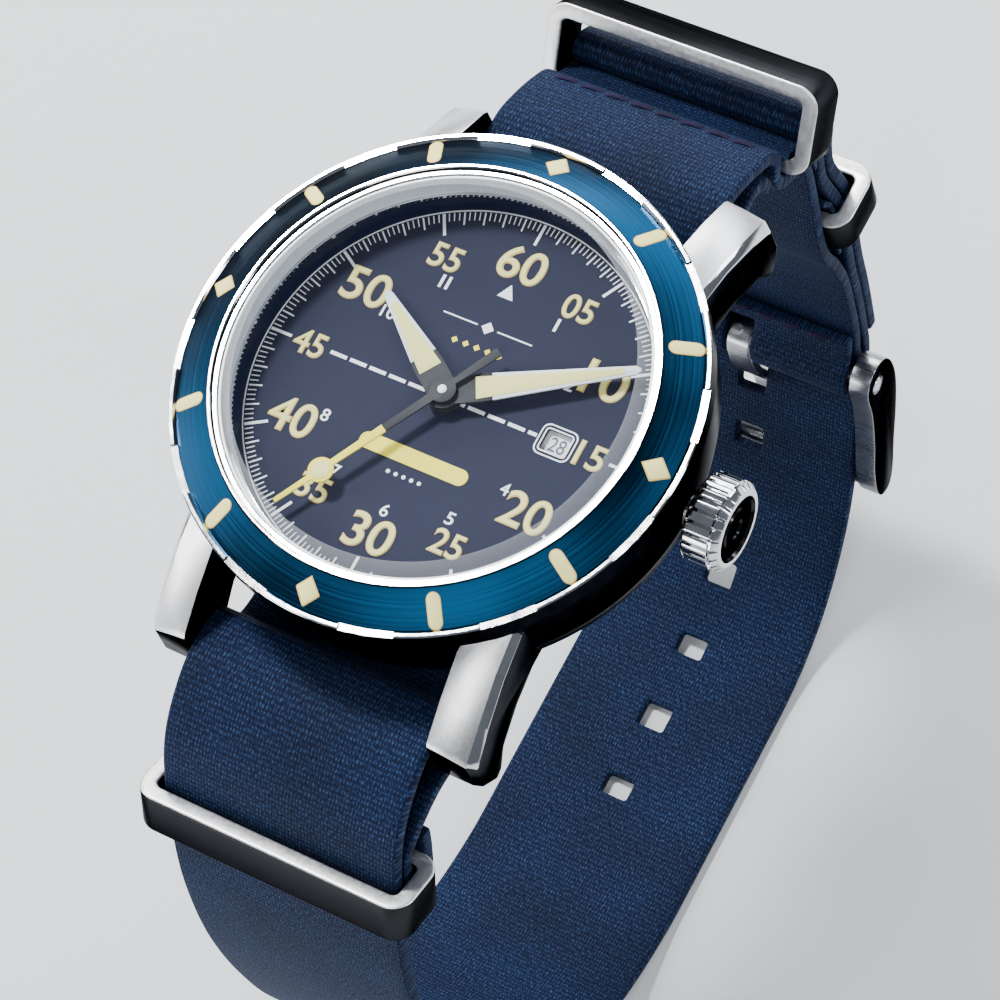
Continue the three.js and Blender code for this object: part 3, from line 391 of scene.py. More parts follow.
def nylon_weave(name, dark, middle, light, thread=0.3):
    """Close nylon webbing, its colour following the weave's height: painted shade in the gaps, painted
    highlight on the thread crowns and raised fibres. The UV map is in millimetres: u across the strap, v along
    it.
    """
    material, nodes, links = new_material(name)
    shader = nodes["Principled BSDF"]
    shader.location = (700, 0)
    shader.inputs["Sheen Weight"].default_value = 0.02
    shader.inputs["Sheen Tint"].default_value = (0.3, 0.5, 1, 1)
    shader.inputs["Specular IOR Level"].default_value = 0.12

    place = nodes.new("ShaderNodeUVMap")
    place.label = "millimetres across and along the strap"
    drift = nodes.new("ShaderNodeTexNoise")
    drift.label = "threads wander"
    drift.inputs["Scale"].default_value = 1.7
    drift.inputs["Detail"].default_value = 3
    wander = nodes.new("ShaderNodeVectorMath")
    wander.label = "how far they wander"
    wander.operation = "MULTIPLY_ADD"
    wander.inputs[1].default_value = (0.4, 0.4, 0)
    warp = nodes.new("ShaderNodeTexWave")
    warp.label = "warp threads"
    warp.bands_direction = "X"
    warp.inputs["Scale"].default_value = math.pi / 10 / thread
    weft = nodes.new("ShaderNodeTexWave")
    weft.label = "weft ribs"
    weft.bands_direction = "Y"
    weft.inputs["Scale"].default_value = math.pi / 10 / (thread * 1.5)
    lean = nodes.new("ShaderNodeMapping")
    lean.label = "fibres lean across the ribs"
    lean.inputs["Rotation"].default_value = (0, 0, math.radians(32))
    lean.inputs["Scale"].default_value = (5.5, 2.2, 1)
    fibre = nodes.new("ShaderNodeTexNoise")
    fibre.label = "short raised fibres with painted highlight"
    fibre.inputs["Scale"].default_value = 1.0
    fibre.inputs["Detail"].default_value = 2
    links.new(place.outputs["UV"], drift.inputs["Vector"])
    links.new(drift.outputs["Color"], wander.inputs[0])
    links.new(place.outputs["UV"], wander.inputs[2])
    links.new(wander.outputs["Vector"], warp.inputs["Vector"])
    links.new(wander.outputs["Vector"], weft.inputs["Vector"])
    links.new(place.outputs["UV"], lean.inputs["Vector"])
    links.new(lean.outputs["Vector"], fibre.inputs["Vector"])
    framed(nodes, "threads", [place, drift, wander, warp, weft, lean, fibre], -2400, 0)

    crossing = nodes.new("ShaderNodeMath")
    crossing.label = "threads cross"
    crossing.operation = "MULTIPLY"
    height = nodes.new("ShaderNodeMix")
    height.label = "fibres on the threads"
    height.inputs["Factor"].default_value = 0.74
    links.new(warp.outputs["Fac"], crossing.inputs[0])
    links.new(weft.outputs["Fac"], crossing.inputs[1])
    links.new(crossing.outputs["Value"], height.inputs["A"])
    links.new(fibre.outputs["Fac"], height.inputs["B"])
    framed(nodes, "weave height", [crossing, height], -800, 0)

    # Colour by height: the dark end is painted shade in the gaps, the light end painted highlight on the
    # crowns and raised fibres.
    tone = nodes.new("ShaderNodeValToRGB")
    tone.label = "painted shade in the gaps, painted highlight on the crowns"
    tone.color_ramp.elements[0].position = 0.28
    tone.color_ramp.elements[0].color = (*dark, 1)
    tone.color_ramp.elements[1].position = 0.72
    tone.color_ramp.elements[1].color = (*light, 1)
    middle_tone = tone.color_ramp.elements.new(0.47)
    middle_tone.color = (*middle, 1)
    wear = nodes.new("ShaderNodeTexNoise")
    wear.label = "uneven dye"
    wear.inputs["Scale"].default_value = 0.12
    wear.inputs["Detail"].default_value = 4
    dye = nodes.new("ShaderNodeMapRange")
    dye.label = "dye strength"
    dye.inputs["From Min"].default_value = 0.3
    dye.inputs["From Max"].default_value = 0.7
    dye.inputs["To Min"].default_value = 0.72
    dye.inputs["To Max"].default_value = 1.25
    dyed = nodes.new("ShaderNodeMix")
    dyed.label = "dyed cloth"
    dyed.data_type = "RGBA"
    dyed.blend_type = "MULTIPLY"
    dyed.inputs["Factor"].default_value = 1
    links.new(height.outputs["Result"], tone.inputs["Fac"])
    links.new(place.outputs["UV"], wear.inputs["Vector"])
    links.new(wear.outputs["Fac"], dye.inputs["Value"])
    links.new(tone.outputs["Color"], dyed.inputs["A"])
    links.new(dye.outputs["Result"], dyed.inputs["B"])
    links.new(dyed.outputs["Result"], shader.inputs["Base Color"])
    framed(nodes, "colour", [tone, wear, dye, dyed], -300, 300)

    gloss = nodes.new("ShaderNodeMapRange")
    gloss.label = "nylon gloss on the crowns"
    gloss.inputs["To Min"].default_value = 0.9
    gloss.inputs["To Max"].default_value = 0.55
    relief = nodes.new("ShaderNodeBump")
    relief.label = "weave relief"
    relief.inputs["Strength"].default_value = 0.7
    relief.inputs["Distance"].default_value = WEAVE_RELIEF
    links.new(height.outputs["Result"], gloss.inputs["Value"])
    links.new(gloss.outputs["Result"], shader.inputs["Roughness"])
    links.new(height.outputs["Result"], relief.inputs["Height"])
    links.new(relief.outputs["Normal"], shader.inputs["Normal"])
    framed(nodes, "surface", [gloss, relief], -300, -200)
    return material


# Grain lines per metre along each axis.
BRUSHED_X = (90, 7000, 7000)
BRUSHED_Y = (7000, 90, 7000)
SMALL_PARTS = (140, 7000, 7000)
MIRROR = (900, 900, 900)
SATIN = (2500, 2500, 2500)

looks = {
    "lug_top": brushed_metal("lug top brushing", (0.78, 0.79, 0.81), BRUSHED_Y, (0.3, 0.46), 0.3),
    "polished": brushed_metal("polished steel", (0.74, 0.75, 0.77), MIRROR, (0.05, 0.11), 0.03, 0),
    # Steel darkened almost to black: painted shade over the keepers' faces, while their edges stay light
    # satin.
    "keeper_face_painted_shade": brushed_metal(
        "keeper outer brushing darkened as painted shade", (0.032, 0.033, 0.036), BRUSHED_X, (0.25, 0.4), 0.3, edge=0.35
    ),
    "keeper_edge": brushed_metal("keeper edge satin", (0.88, 0.89, 0.9), SATIN, (0.38, 0.52), 0.1, 0),
    # Steel much darker than the case's: painted shade over the buckle frame and its tongue.
    "painted_shade_buckle_steel": brushed_metal("buckle brushing darkened as painted shade", (0.4, 0.41, 0.43), BRUSHED_X, (0.22, 0.38), 0.3),
    # Polished steel darkened almost to black: painted shade on faces that turn from the light, though they are
    # the same steel as the rest.
    "painted_shade_steel": brushed_metal(
        "polished steel darkened as painted shade", (0.035, 0.036, 0.04), MIRROR, (0.1, 0.2), 0.05, 0, edge=0.3
    ),
    "small_steel": brushed_metal("turned steel parts", (0.62, 0.62, 0.64), SMALL_PARTS, (0.2, 0.35), 0.2),
    "gilt": turned_metal("gilt wheels", (0.8, 0.58, 0.24), HEAD, pitch=3000, shade=0.75),
    "nickel": turned_metal("frosted nickel plate", (0.66, 0.66, 0.68), HEAD, (0.3, 0.5), 3000, shade=0.8),
    "back_steel": turned_metal("turned case back", (0.56, 0.57, 0.59), HEAD, (0.18, 0.34), 3400, shade=0.8),
    "insert": turned_metal(
        "blue anodised insert", (0.004, 0.052, 0.125), HEAD, (0.28, 0.46), 4200, depth=0.4, shade=0.3
    ),
    "dial": lacquer("matte slate dial", (0.028, 0.03, 0.05), 0.7, 6000, 0.15, 0.08, 0.08),
    "rehaut": lacquer("satin navy ring", (0.008, 0.012, 0.035), 0.35, 3000, 0.05),
    "white": lacquer("white print", (0.86, 0.87, 0.86), 0.5, 5000, 0.1, 0.04),
    "lume": lacquer("cream luminous filler", (0.8, 0.75, 0.29), 0.7, 5000, 0.3, 0.06, 0.1),
    "lume_edge": lacquer("amber edge of the filler", (0.62, 0.43, 0.12), 0.5, 4000, 0.1, 0.08),
    "yellow": lacquer("yellow lacquer", (0.9, 0.75, 0.07), 0.5, 4000, 0.05, 0.05, 0.15),
    "ink": lacquer("grey ink", (0.12, 0.12, 0.14), 0.6, 5000, 0.1),
    "hub_grey": lacquer("grey hand lacquer", (0.04, 0.041, 0.044), 0.5, 4000, 0.08, 0.1, 0.12),
    "silver": lacquer("silver hand frame", (0.72, 0.74, 0.77), 0.35, 4000, 0.05, 0.04, 0.5),
    "rubber": lacquer("black rubber", (0.02, 0.02, 0.022), 0.65, 2500, 0.3),
    "white_nylon": lacquer("pale nylon gasket", (0.72, 0.75, 0.78), 0.3, 2500, 0.05, 0.05, coat=0.4),
    "holder": lacquer("off-white holder plastic", (0.68, 0.68, 0.64), 0.5, 1800, 0.2),
    "thread": lacquer("dark purple sewing thread", (0.012, 0.009, 0.03), 0.8, 5200, 0.9, 0.4, 0.1),
    # Gap, middle and crown colours: the dark one is painted shade in the weave's gaps, the light one painted
    # highlight on its crowns.
    "webbing": nylon_weave(
        "navy webbing", (0.0006, 0.0024, 0.011), (0.0019, 0.0074, 0.032), (0.016, 0.042, 0.1)
    ),
    "crystal": crystal_glass("clear crystal", 0.0, 0.01),
    "crystal_edge": crystal_glass("ground crystal edge", 0.14, 0.05),
}


# ---------- Modelling ------------------


def finished(piece, body, replaced=(), sharp=35):
    """Puts the piece's place in its mesh, smooths it, and hangs it on its CAD body."""
    bpy.ops.object.select_all(action="DESELECT")
    piece.select_set(True)
    bpy.context.view_layer.objects.active = piece
    bpy.ops.object.transform_apply(location=True, rotation=True, scale=True)
    bpy.ops.object.shade_smooth_by_angle(angle=math.radians(sharp))
    piece.select_set(False)
    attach(piece, body)
    if replaced:
        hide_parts(*replaced)
    return piece


def outward(piece, merge=1e-7):
    """Merges doubles and turns every face outwards."""
    bpy.context.view_layer.objects.active = piece
    bpy.ops.object.mode_set(mode="EDIT")
    bpy.ops.mesh.select_all(action="SELECT")
    bpy.ops.mesh.remove_doubles(threshold=merge)
    bpy.ops.mesh.normals_make_consistent(inside=False)
    bpy.ops.object.mode_set(mode="OBJECT")


def turned(name, profile, segments=128, solid=False, axis="Z", middle=(0, 0, 0)):
    """One loop extruded from point to point of a profile of [radius, height] about an axis."""
    radius, height = profile[0]
    bpy.ops.object.select_all(action="DESELECT")
    fill = "NGON" if solid else "NOTHING"
    bpy.ops.mesh.primitive_circle_add(vertices=segments, radius=radius * MM, fill_type=fill)
    piece = bpy.context.object
    piece.name = name
    bpy.ops.object.mode_set(mode="EDIT")
    bpy.ops.mesh.select_all(action="SELECT")
    bpy.ops.transform.translate(value=(0, 0, height * MM))
    for next_radius, next_height in profile[1:] if solid else profile[1:] + profile[:1]:
        rise = (0, 0, (next_height - height) * MM)
        bpy.ops.mesh.extrude_region_move(TRANSFORM_OT_translate={"value": rise})
        grow = next_radius / radius
        bpy.ops.transform.resize(value=(grow, grow, 1), center_override=(0, 0, next_height * MM))
        radius, height = next_radius, next_height
    bpy.ops.object.mode_set(mode="OBJECT")
    outward(piece)
    if axis == "X":
        piece.rotation_euler = (0, math.pi / 2, 0)
    piece.location = in_metres(middle)
    bpy.ops.object.transform_apply(location=True, rotation=True, scale=True)
    piece.select_set(False)
    return piece


def rod(name, radius, low, high, segments, axis="Z", middle=(0, 0, 0)):
    """A plain round bar: a hole's cutter, or a boss to join on."""
    return turned(name, [(radius, low), (radius, high)], segments, True, axis, middle)


def lofted(name, sections):
    """One face extruded from outline to outline; each is a list of points with the same count."""
    bpy.ops.object.select_all(action="DESELECT")
    bpy.ops.mesh.primitive_circle_add(vertices=len(sections[0]), fill_type="NGON")
    piece = bpy.context.object
    piece.name = name
    for vertex, point in zip(piece.data.vertices, sections[0]):
        vertex.co = in_metres(point)
    for here, there in zip(sections, sections[1:]):
        bpy.ops.object.mode_set(mode="EDIT")
        bpy.ops.mesh.extrude_region_move()
        bpy.ops.object.mode_set(mode="OBJECT")
        moves = [(in_metres(old), in_metres(new)) for old, new in zip(here, there)]
        for vertex in piece.data.vertices:
            if vertex.select:
                vertex.co = min(moves, key=lambda move: (move[0] - vertex.co).length_squared)[1]
    outward(piece)
    piece.select_set(False)
    return piece


def plate(name, outline, low, high):
    return lofted(name, [[(x, y, z) for x, y in outline] for z in (low, high)])


def side_plate(name, outline, low, high):
    return lofted(name, [[(x, y, z) for y, z in outline] for x in (low, high)])


def apply_modifier(piece, modifier):
    bpy.context.view_layer.objects.active = piece
    bpy.ops.object.modifier_apply(modifier=modifier.name)


def bevelled(piece, width, segments=2, angle=28):
    edge = piece.modifiers.new("rounded edges", "BEVEL")
    edge.width = width * MM
    edge.segments = segments
    edge.limit_method = "ANGLE"
    edge.angle_limit = math.radians(angle)
    apply_modifier(piece, edge)
    return piece


def combined(piece, tool, operation="DIFFERENCE"):
    """Cuts a tool solid out of the piece, or joins it on, and throws the tool away."""
    join = piece.modifiers.new("with tool", "BOOLEAN")
    join.operation = operation
    join.solver = "EXACT"
    join.object = tool
    apply_modifier(piece, join)
    bpy.data.objects.remove(tool)
    return piece


def joined(pieces, name):
    """Several copies as one object, each still its own shell."""
    bpy.ops.object.select_all(action="DESELECT")
    for piece in pieces:
        piece.select_set(True)
    bpy.context.view_layer.objects.active = pieces[0]
    if len(pieces) > 1:
        bpy.ops.object.join()
    pieces[0].name = name
    pieces[0].select_set(False)
    return pieces[0]


def coated(piece, *materials):
    piece.data.materials.clear()
    for material in materials:
        piece.data.materials.append(looks[material])
    return piece


def coated_where(piece, material, chosen):
    """Gives a further material to the faces chosen by their place in the head and their normal."""
    piece.data.materials.append(looks[material])
    for face in piece.data.polygons:
        if chosen((face.center - HEAD) / MM, face.normal):
            face.material_index = len(piece.data.materials) - 1


def turned_about_dial(piece, degrees):
    """Turns a piece drawn at twelve o'clock clockwise round the dial's centre."""
    turn = Matrix.Rotation(-math.radians(degrees), 4, "Z")
    piece.data.transform(Matrix.Translation(HEAD) @ turn @ Matrix.Translation(-HEAD))
    return piece


def mirrored(right):
    """A closed outline from its right half: the left half, then the right half from its far end."""
    return [(-x, y) for x, y in right] + right[::-1]


def block(name, low, high):
    outline = [(low[0], low[1]), (high[0], low[1]), (high[0], high[1]), (low[0], high[1])]
    return plate(name, outline, low[2], high[2])


def rounded_outline(low, high, radius, steps=6):
    """A rectangle of [a, b] corners with round corners, anticlockwise."""
    points = []
    middle_a, middle_b = (low[0] + high[0]) / 2, (low[1] + high[1]) / 2
    corners = [(high[0], low[1]), (high[0], high[1]), (low[0], high[1]), (low[0], low[1])]
    for corner, (a, b) in enumerate(corners):
        centre = (a - math.copysign(radius, a - middle_a), b - math.copysign(radius, b - middle_b))
        for step in range(steps + 1):
            angle = math.pi / 2 * (corner - 1 + step / steps)
            points.append((centre[0] + radius * math.cos(angle), centre[1] + radius * math.sin(angle)))
    return points


# ---------- Case ----------

LUG_GAP = 22
LUG_OUTER = 14.85
BAR_Y = 22.6
BAR_Z = -11.0
BAR_HOLE_X = 11.45
CROWN_Z = -7.0
CASE_BORE = 17.15
CASE_PROFILE = [
    (CASE_BORE, -10.2), (19.3, -10.2), (20.5, -9.0), (20.9, -7.2), (20.9, -3.1), (20.6, -2.72),
    (20.0, -2.72),
    (20.0, -3.1), (18.4, -3.1), (18.4, -2.72), (17.55, -2.72), (17.55, 0.5), (17.5, 0.55), (17.2, 0.55),
    (CASE_BORE, 0.5), (CASE_BORE, -2.05), (16.72, -2.05), (16.72, -2.35), (CASE_BORE, -2.35),
]
BACK_PROFILE = [
    (16.4, -13.6), (16.6, -13.55), (17.4, -13.0), (18.65, -12.45), (18.7, -12.35), (18.7, -10.25),
    (17.05, -10.25), (17.05, -9.3), (16.2, -9.3), (16.2, -12.3),
]
LUG_REACH = 21.2  # further than this from the dial's centre, or than LUG_ROOT from six to twelve, is a lug
LUG_ROOT = 17.5
# Below this height the case's flank takes the darkened steel, painted shade.
FLANK_TOP = -3.2


def lug_outline(drop, inset):
    """One lug's side outline of [y, z]; drop lowers its top edge, inset draws its sides in."""
    return [
        (10, -3.0 - drop * 0.4),
        (15, -3.1 - drop * 0.6),
        (18.5, -4.0 - drop * 0.8),
        (21.8, -5.5 - drop),
        (24.6 - inset, -7.15 - drop),
        (25.05 - inset, -7.6 - drop),
        (25.25 - inset, -12.0),
        (24.7 - inset, -13.6 + inset),
        (23.5, -14.5 + inset),
        (22.7, -14.2 + inset),
        (21.5, -12.4 + inset),
        (18.5, -10.2),
        (15.5, -9.3),
        (10, -9.3),
    ]


def make_lug(side_x, side_y):
    sections = [
        (LUG_GAP / 2, lug_outline(0, 0)),
        (LUG_GAP / 2 + 1.6, lug_outline(0.5, 0)),
        (LUG_OUTER - 0.6, lug_outline(1.2, 0)),
        (LUG_OUTER, lug_outline(1.9, 0.5)),
    ]
    points = [[(side_x * x, side_y * y, z) for y, z in outline] for x, outline in sections]
    return bevelled(lofted("lug", points), 0.12, 2, 40)


def make_case():
    body = turned("case_body", CASE_PROFILE, 192)
    for side_x in (1, -1):
        for side_y in (1, -1):
            combined(body, make_lug(side_x, side_y), "UNION")
    combined(body, rod("cavity", CASE_BORE, -12, -2.36, 192))
    for side in (1, -1):
        near, far = sorted((20.35 * side, 24 * side))
        combined(body, block("strap_recess", (-LUG_GAP / 2, near, -16), (LUG_GAP / 2, far, -6.5)))
        for end in (1, -1):
            middle = (end * BAR_HOLE_X, side * BAR_Y, BAR_Z)
            combined(body, rod("bar_hole", 0.45, -0.95, 0.95, 24, "X", middle))
    combined(body, rod("tube_hole", 1.33, 15, 22, 32, "X", (0, 0, CROWN_Z)))
    coated(body, "polished", "lug_top", "painted_shade_steel")
    for face in body.data.polygons:
        centre = (face.center - HEAD) / MM
        on_lug = abs(centre.y) > LUG_ROOT or math.hypot(centre.x, centre.y) > LUG_REACH
        if on_lug and face.normal.z > 0.4:
            face.material_index = 1 if abs(face.normal.x) < 0.5 else 0
        # Lug sides and the flanks below FLANK_TOP take the darkened steel: painted shade.
        elif on_lug or centre.z < FLANK_TOP:
            face.material_index = 2
    finished(body, "case", ["case_middle"])


def make_case_back():
    cup = turned("case_back_fine", BACK_PROFILE, 160, True)
    for step in range(6):
        notch = bevelled(block("key_notch", (-1.4, 16.2, -14.6), (1.4, 18.2, -12.9)), 0.15)
        combined(cup, turned_about_dial(notch, 60 * step))
    coated(cup, "back_steel")
    finished(cup, "case", ["case_back"])


# ---------- Bezel ----------

BEZEL_RADIUS = 21.4
RIM_WIDTH = 0.55
RIM_TOP = -0.45
MARKER_RADIUS = 19.54
INSERT_INNER = 17.92
RECESS_DEPTH = 0.2
RIM_STEPS_FROM = 16  # degrees clockwise of twelve o'clock
MARKERS_FROM = 1


def insert_height(radius):
    return (MARKER_RADIUS - radius) * 0.5


def make_bezel():
    tray_outer = BEZEL_RADIUS - RIM_WIDTH
    tray_edge = insert_height(tray_outer)
    lip = insert_height(INSERT_INNER) + 0.12
    ring = turned("bezel_ring_fine", [
        (17.62, -2.6), (21.25, -2.6), (21.4, -2.45), (21.4, RIM_TOP - 0.12), (21.28, RIM_TOP),
        (tray_outer + 0.2, RIM_TOP), (tray_outer, tray_edge), (tray_outer, tray_edge - 0.55),
        (17.87, insert_height(17.87) - 0.55), (17.87, lip - 0.05), (17.82, lip), (17.67, lip),
        (17.62, lip - 0.05),
    ], 240)
    half = math.radians(6)
    corners = [(tray_outer - 0.02, -half), (tray_outer - 0.02, half), (22, half), (22, -half)]
    outline = [(radius * math.sin(turn), radius * math.cos(turn)) for radius, turn in corners]
    for step in range(12):
        cutter = plate("rim_step", outline, RIM_TOP - RECESS_DEPTH, RIM_TOP + 1)
        combined(ring, turned_about_dial(cutter, RIM_STEPS_FROM + 30 * step))
    coated(ring, "polished")
    # The rim's outer side and the walls of its steps take the darkened steel: painted shade.
    coated_where(ring, "painted_shade_steel", lambda place, normal:
                 abs(normal.z) < 0.3 and math.hypot(place.x, place.y) > tray_outer + 0.3)
    finished(ring, "bezel", ["bezel_ring"])

    outer = tray_outer - 0.07
    inner_top, outer_top = insert_height(INSERT_INNER), insert_height(outer)
    insert = turned("bezel_insert_fine", [
        (INSERT_INNER, inner_top - 0.5), (outer, outer_top - 0.5), (outer, outer_top - 0.04),
        (outer - 0.04, outer_top), (INSERT_INNER + 0.04, inner_top), (INSERT_INNER, inner_top - 0.04),
    ], 240)
    coated(insert, "insert")
    finished(insert, "bezel", ["bezel_insert"])


DIAMOND = [
    (0.08, -1.1), (1.04, -0.06), (1.04, 0.06), (0.08, 1.1), (-0.08, 1.1), (-1.04, 0.06), (-1.04, -0.06),
]
PILL = rounded_outline((-0.57, -1.3), (0.57, 1.3), 0.56, 8)


def make_markers():
    """Diamonds at the quarters and pills between them, each an amber rim with a cream filling."""
    fills, edges = [], []
    for step in range(12):
        outline = PILL if step % 3 else DIAMOND
        for grow, low, high, group in ((1.0, -0.2, 0.035, edges), (0.88, 0.0, 0.06, fills)):
            lengthwise = 1 - (1 - grow) * 0.45 if step % 3 else grow
            shape = [(x * grow, MARKER_RADIUS + y * lengthwise) for x, y in outline]
            layers = [[(x, y, z + insert_height(y)) for x, y in shape] for z in (low, high)]
            piece = bevelled(lofted("marker", layers), 0.03, 2, 40)
            group.append(turned_about_dial(piece, MARKERS_FROM + 30 * step))
    rims = coated(joined(edges, "marker_rims"), "lume_edge")
    finished(rims, "bezel")
    filler = coated(joined(fills, "marker_fillings"), "lume")
    finished(filler, "bezel")


# ---------- Crystal and the rings under it ----------


CRYSTAL_PROFILE = [
    (16.86, -1.95), (16.86, 0.3), (16.8, 0.42), (16.12, 1.09), (15.95, 1.16), (12, 1.205), (7, 1.24),
    (2, CRYSTAL_TOP),
]
GASKET_PROFILE = [(16.89, -2.0), (17.12, -2.0), (17.12, 0.3), (17.07, 0.35), (16.94, 0.35), (16.89, 0.3)]
REHAUT_PROFILE = [(16.5, -4.15), (17.1, -4.15), (17.1, -2.4), (16.85, -2.4), (16.8, -2.45)]
CRYSTAL_CHAMFER = 15.9  # the ground edge starts at this radius


def make_crystal():
    glass = turned("crystal_fine", CRYSTAL_PROFILE, 192, True)
    coated(glass, "crystal")
    coated_where(glass, "crystal_edge", lambda place, normal:
                 math.hypot(place.x, place.y) > CRYSTAL_CHAMFER and normal.z > -0.5)
    finished(glass, "case", ["crystal"])
    gasket = turned("crystal_gasket_fine", GASKET_PROFILE, 160)
    coated(gasket, "white_nylon")
    finished(gasket, "case", ["crystal_gasket"])
    rehaut = turned("rehaut_fine", REHAUT_PROFILE, 160)
    coated(rehaut, "rehaut")
    finished(rehaut, "case", ["rehaut_ring"])


# ---------- Dial ----------

DIAL_TOP = -4.2
DIAL_RADIUS = 16.9
DATE_X = 9.7
INK = 0.03


def printed(pieces, name, material):
    coated(joined(pieces, name), material)
    finished(pieces[0], "case", sharp=40)


def digits(word, x, y, height, width, low, thick, weight, quarter=0.0):
    """Generic numerals as a thin raised print, centred on [x, y] and fitted to a height and width."""
    bpy.ops.object.select_all(action="DESELECT")
    bpy.ops.object.text_add()
    text = bpy.context.object
    text.data.body = word
    text.data.align_x = "CENTER"
    text.data.align_y = "CENTER"
    text.data.offset = weight
    text.data.extrude = 0.5
    bpy.ops.object.convert(target="MESH")
    piece = bpy.context.object
    corners = [Vector(corner) for corner in piece.bound_box]
    low_corner = Vector([min(corner[axis] for corner in corners) for axis in range(3)])
    high_corner = Vector([max(corner[axis] for corner in corners) for axis in range(3)])
    middle = (low_corner + high_corner) / 2
    size = high_corner - low_corner
    scale = Matrix.Diagonal((width / size.x * MM, height / size.y * MM, thick / size.z * MM, 1))
    place = Matrix.Translation(in_metres((x, y, low + thick / 2)))
    piece.data.transform(place @ Matrix.Rotation(quarter, 4, "Z") @ scale @ Matrix.Translation(-middle))
    piece.data.name = word
    piece.select_set(False)
    return piece


# Each numeral's word, middle [x, y], height and width.
NUMERALS = [
    ("60", 0, 12.5, 2.85, 3.9),
    ("05", 6.0, 10.8, 2.0, 2.6),
    ("10", 10.9, 6.05, 2.85, 3.6),
    ("15", 12.75, 0, 2.0, 2.3),
    ("20", 10.4, -6.1, 2.85, 3.9),
    ("25", 5.95, -10.75, 2.0, 2.6),
    ("30", -0.1, -12.4, 2.85, 3.9),
    ("35", -6.2, -10.75, 2.0, 2.6),
    ("40", -10.8, -6.1, 2.85, 3.9),
    ("45", -12.7, 0, 2.0, 2.6),
    ("50", -10.8, 6.07, 2.85, 3.9),
    ("55", -6.1, 10.8, 2.0, 2.6),
]
HOURS = [
    ("10", -8.1, 4.8), ("2", 8.4, 4.75), ("8", -8.4, -4.95), ("4", 7.9, -4.95), ("7", -5.3, -8.8),
    ("5", 5.1, -8.8), ("6", 0, -10.2),
]
TICKS = [
    ("fine_ticks", 240, 15.6, 0.085, 0.02),
    ("minute_ticks", 60, 15.2, 0.13, 0.025),
    ("hour_ticks", 12, 14.4, 0.24, 0.03),
]
TICKS_OUTER = 16.3
DASHES_FROM = -10.75
DASHES_TO = 8.0
DASH_LENGTH = 1.5
DASH_PITCH = 1.8
RULE_Y = 6.58  # the rule with a lozenge under twelve o'clock


def ticks(name, count, inner, width, thick):
    """One tick, then copies of it spun round the dial."""
    tick = block(name, (-width / 2, inner, DIAL_TOP), (width / 2, TICKS_OUTER, DIAL_TOP + thick))
    bpy.context.view_layer.objects.active = tick
    bpy.ops.object.mode_set(mode="EDIT")
    bpy.ops.mesh.select_all(action="SELECT")
    bpy.ops.mesh.spin(steps=count, dupli=True, angle=2 * math.pi, center=HEAD, axis=(0, 0, 1))
    bpy.ops.mesh.select_all(action="SELECT")
    bpy.ops.mesh.remove_doubles(threshold=1e-7)
    bpy.ops.object.mode_set(mode="OBJECT")
    tick.select_set(False)
    return tick


def stripe(x_low, y_low, x_high, y_high):
    """A printed bar."""
    return block("stripe", (x_low, y_low, DIAL_TOP), (x_high, y_high, DIAL_TOP + INK))


def lozenge(x, y, half_width, half_height):
    outline = [(x - half_width, y), (x, y - half_height), (x + half_width, y), (x, y + half_height)]
    return plate("lozenge", outline, DIAL_TOP, DIAL_TOP + INK)


def date_outline(half_width, half_height, radius, steps=6):
    """A rounded rectangle round the date."""
    low = (DATE_X - half_width, -half_height)
    return rounded_outline(low, (DATE_X + half_width, half_height), radius, steps)


def date_border(grow):
    outside = date_outline(1.24 + grow, 1.02 + grow, 0.3 + grow)
    inside = date_outline(1.12 + grow, 0.9 + grow, 0.22 + grow)
    border = plate("date_frame", outside, DIAL_TOP, DIAL_TOP + INK)
    return combined(border, plate("hole", inside, DIAL_TOP - 1, DIAL_TOP + 1))


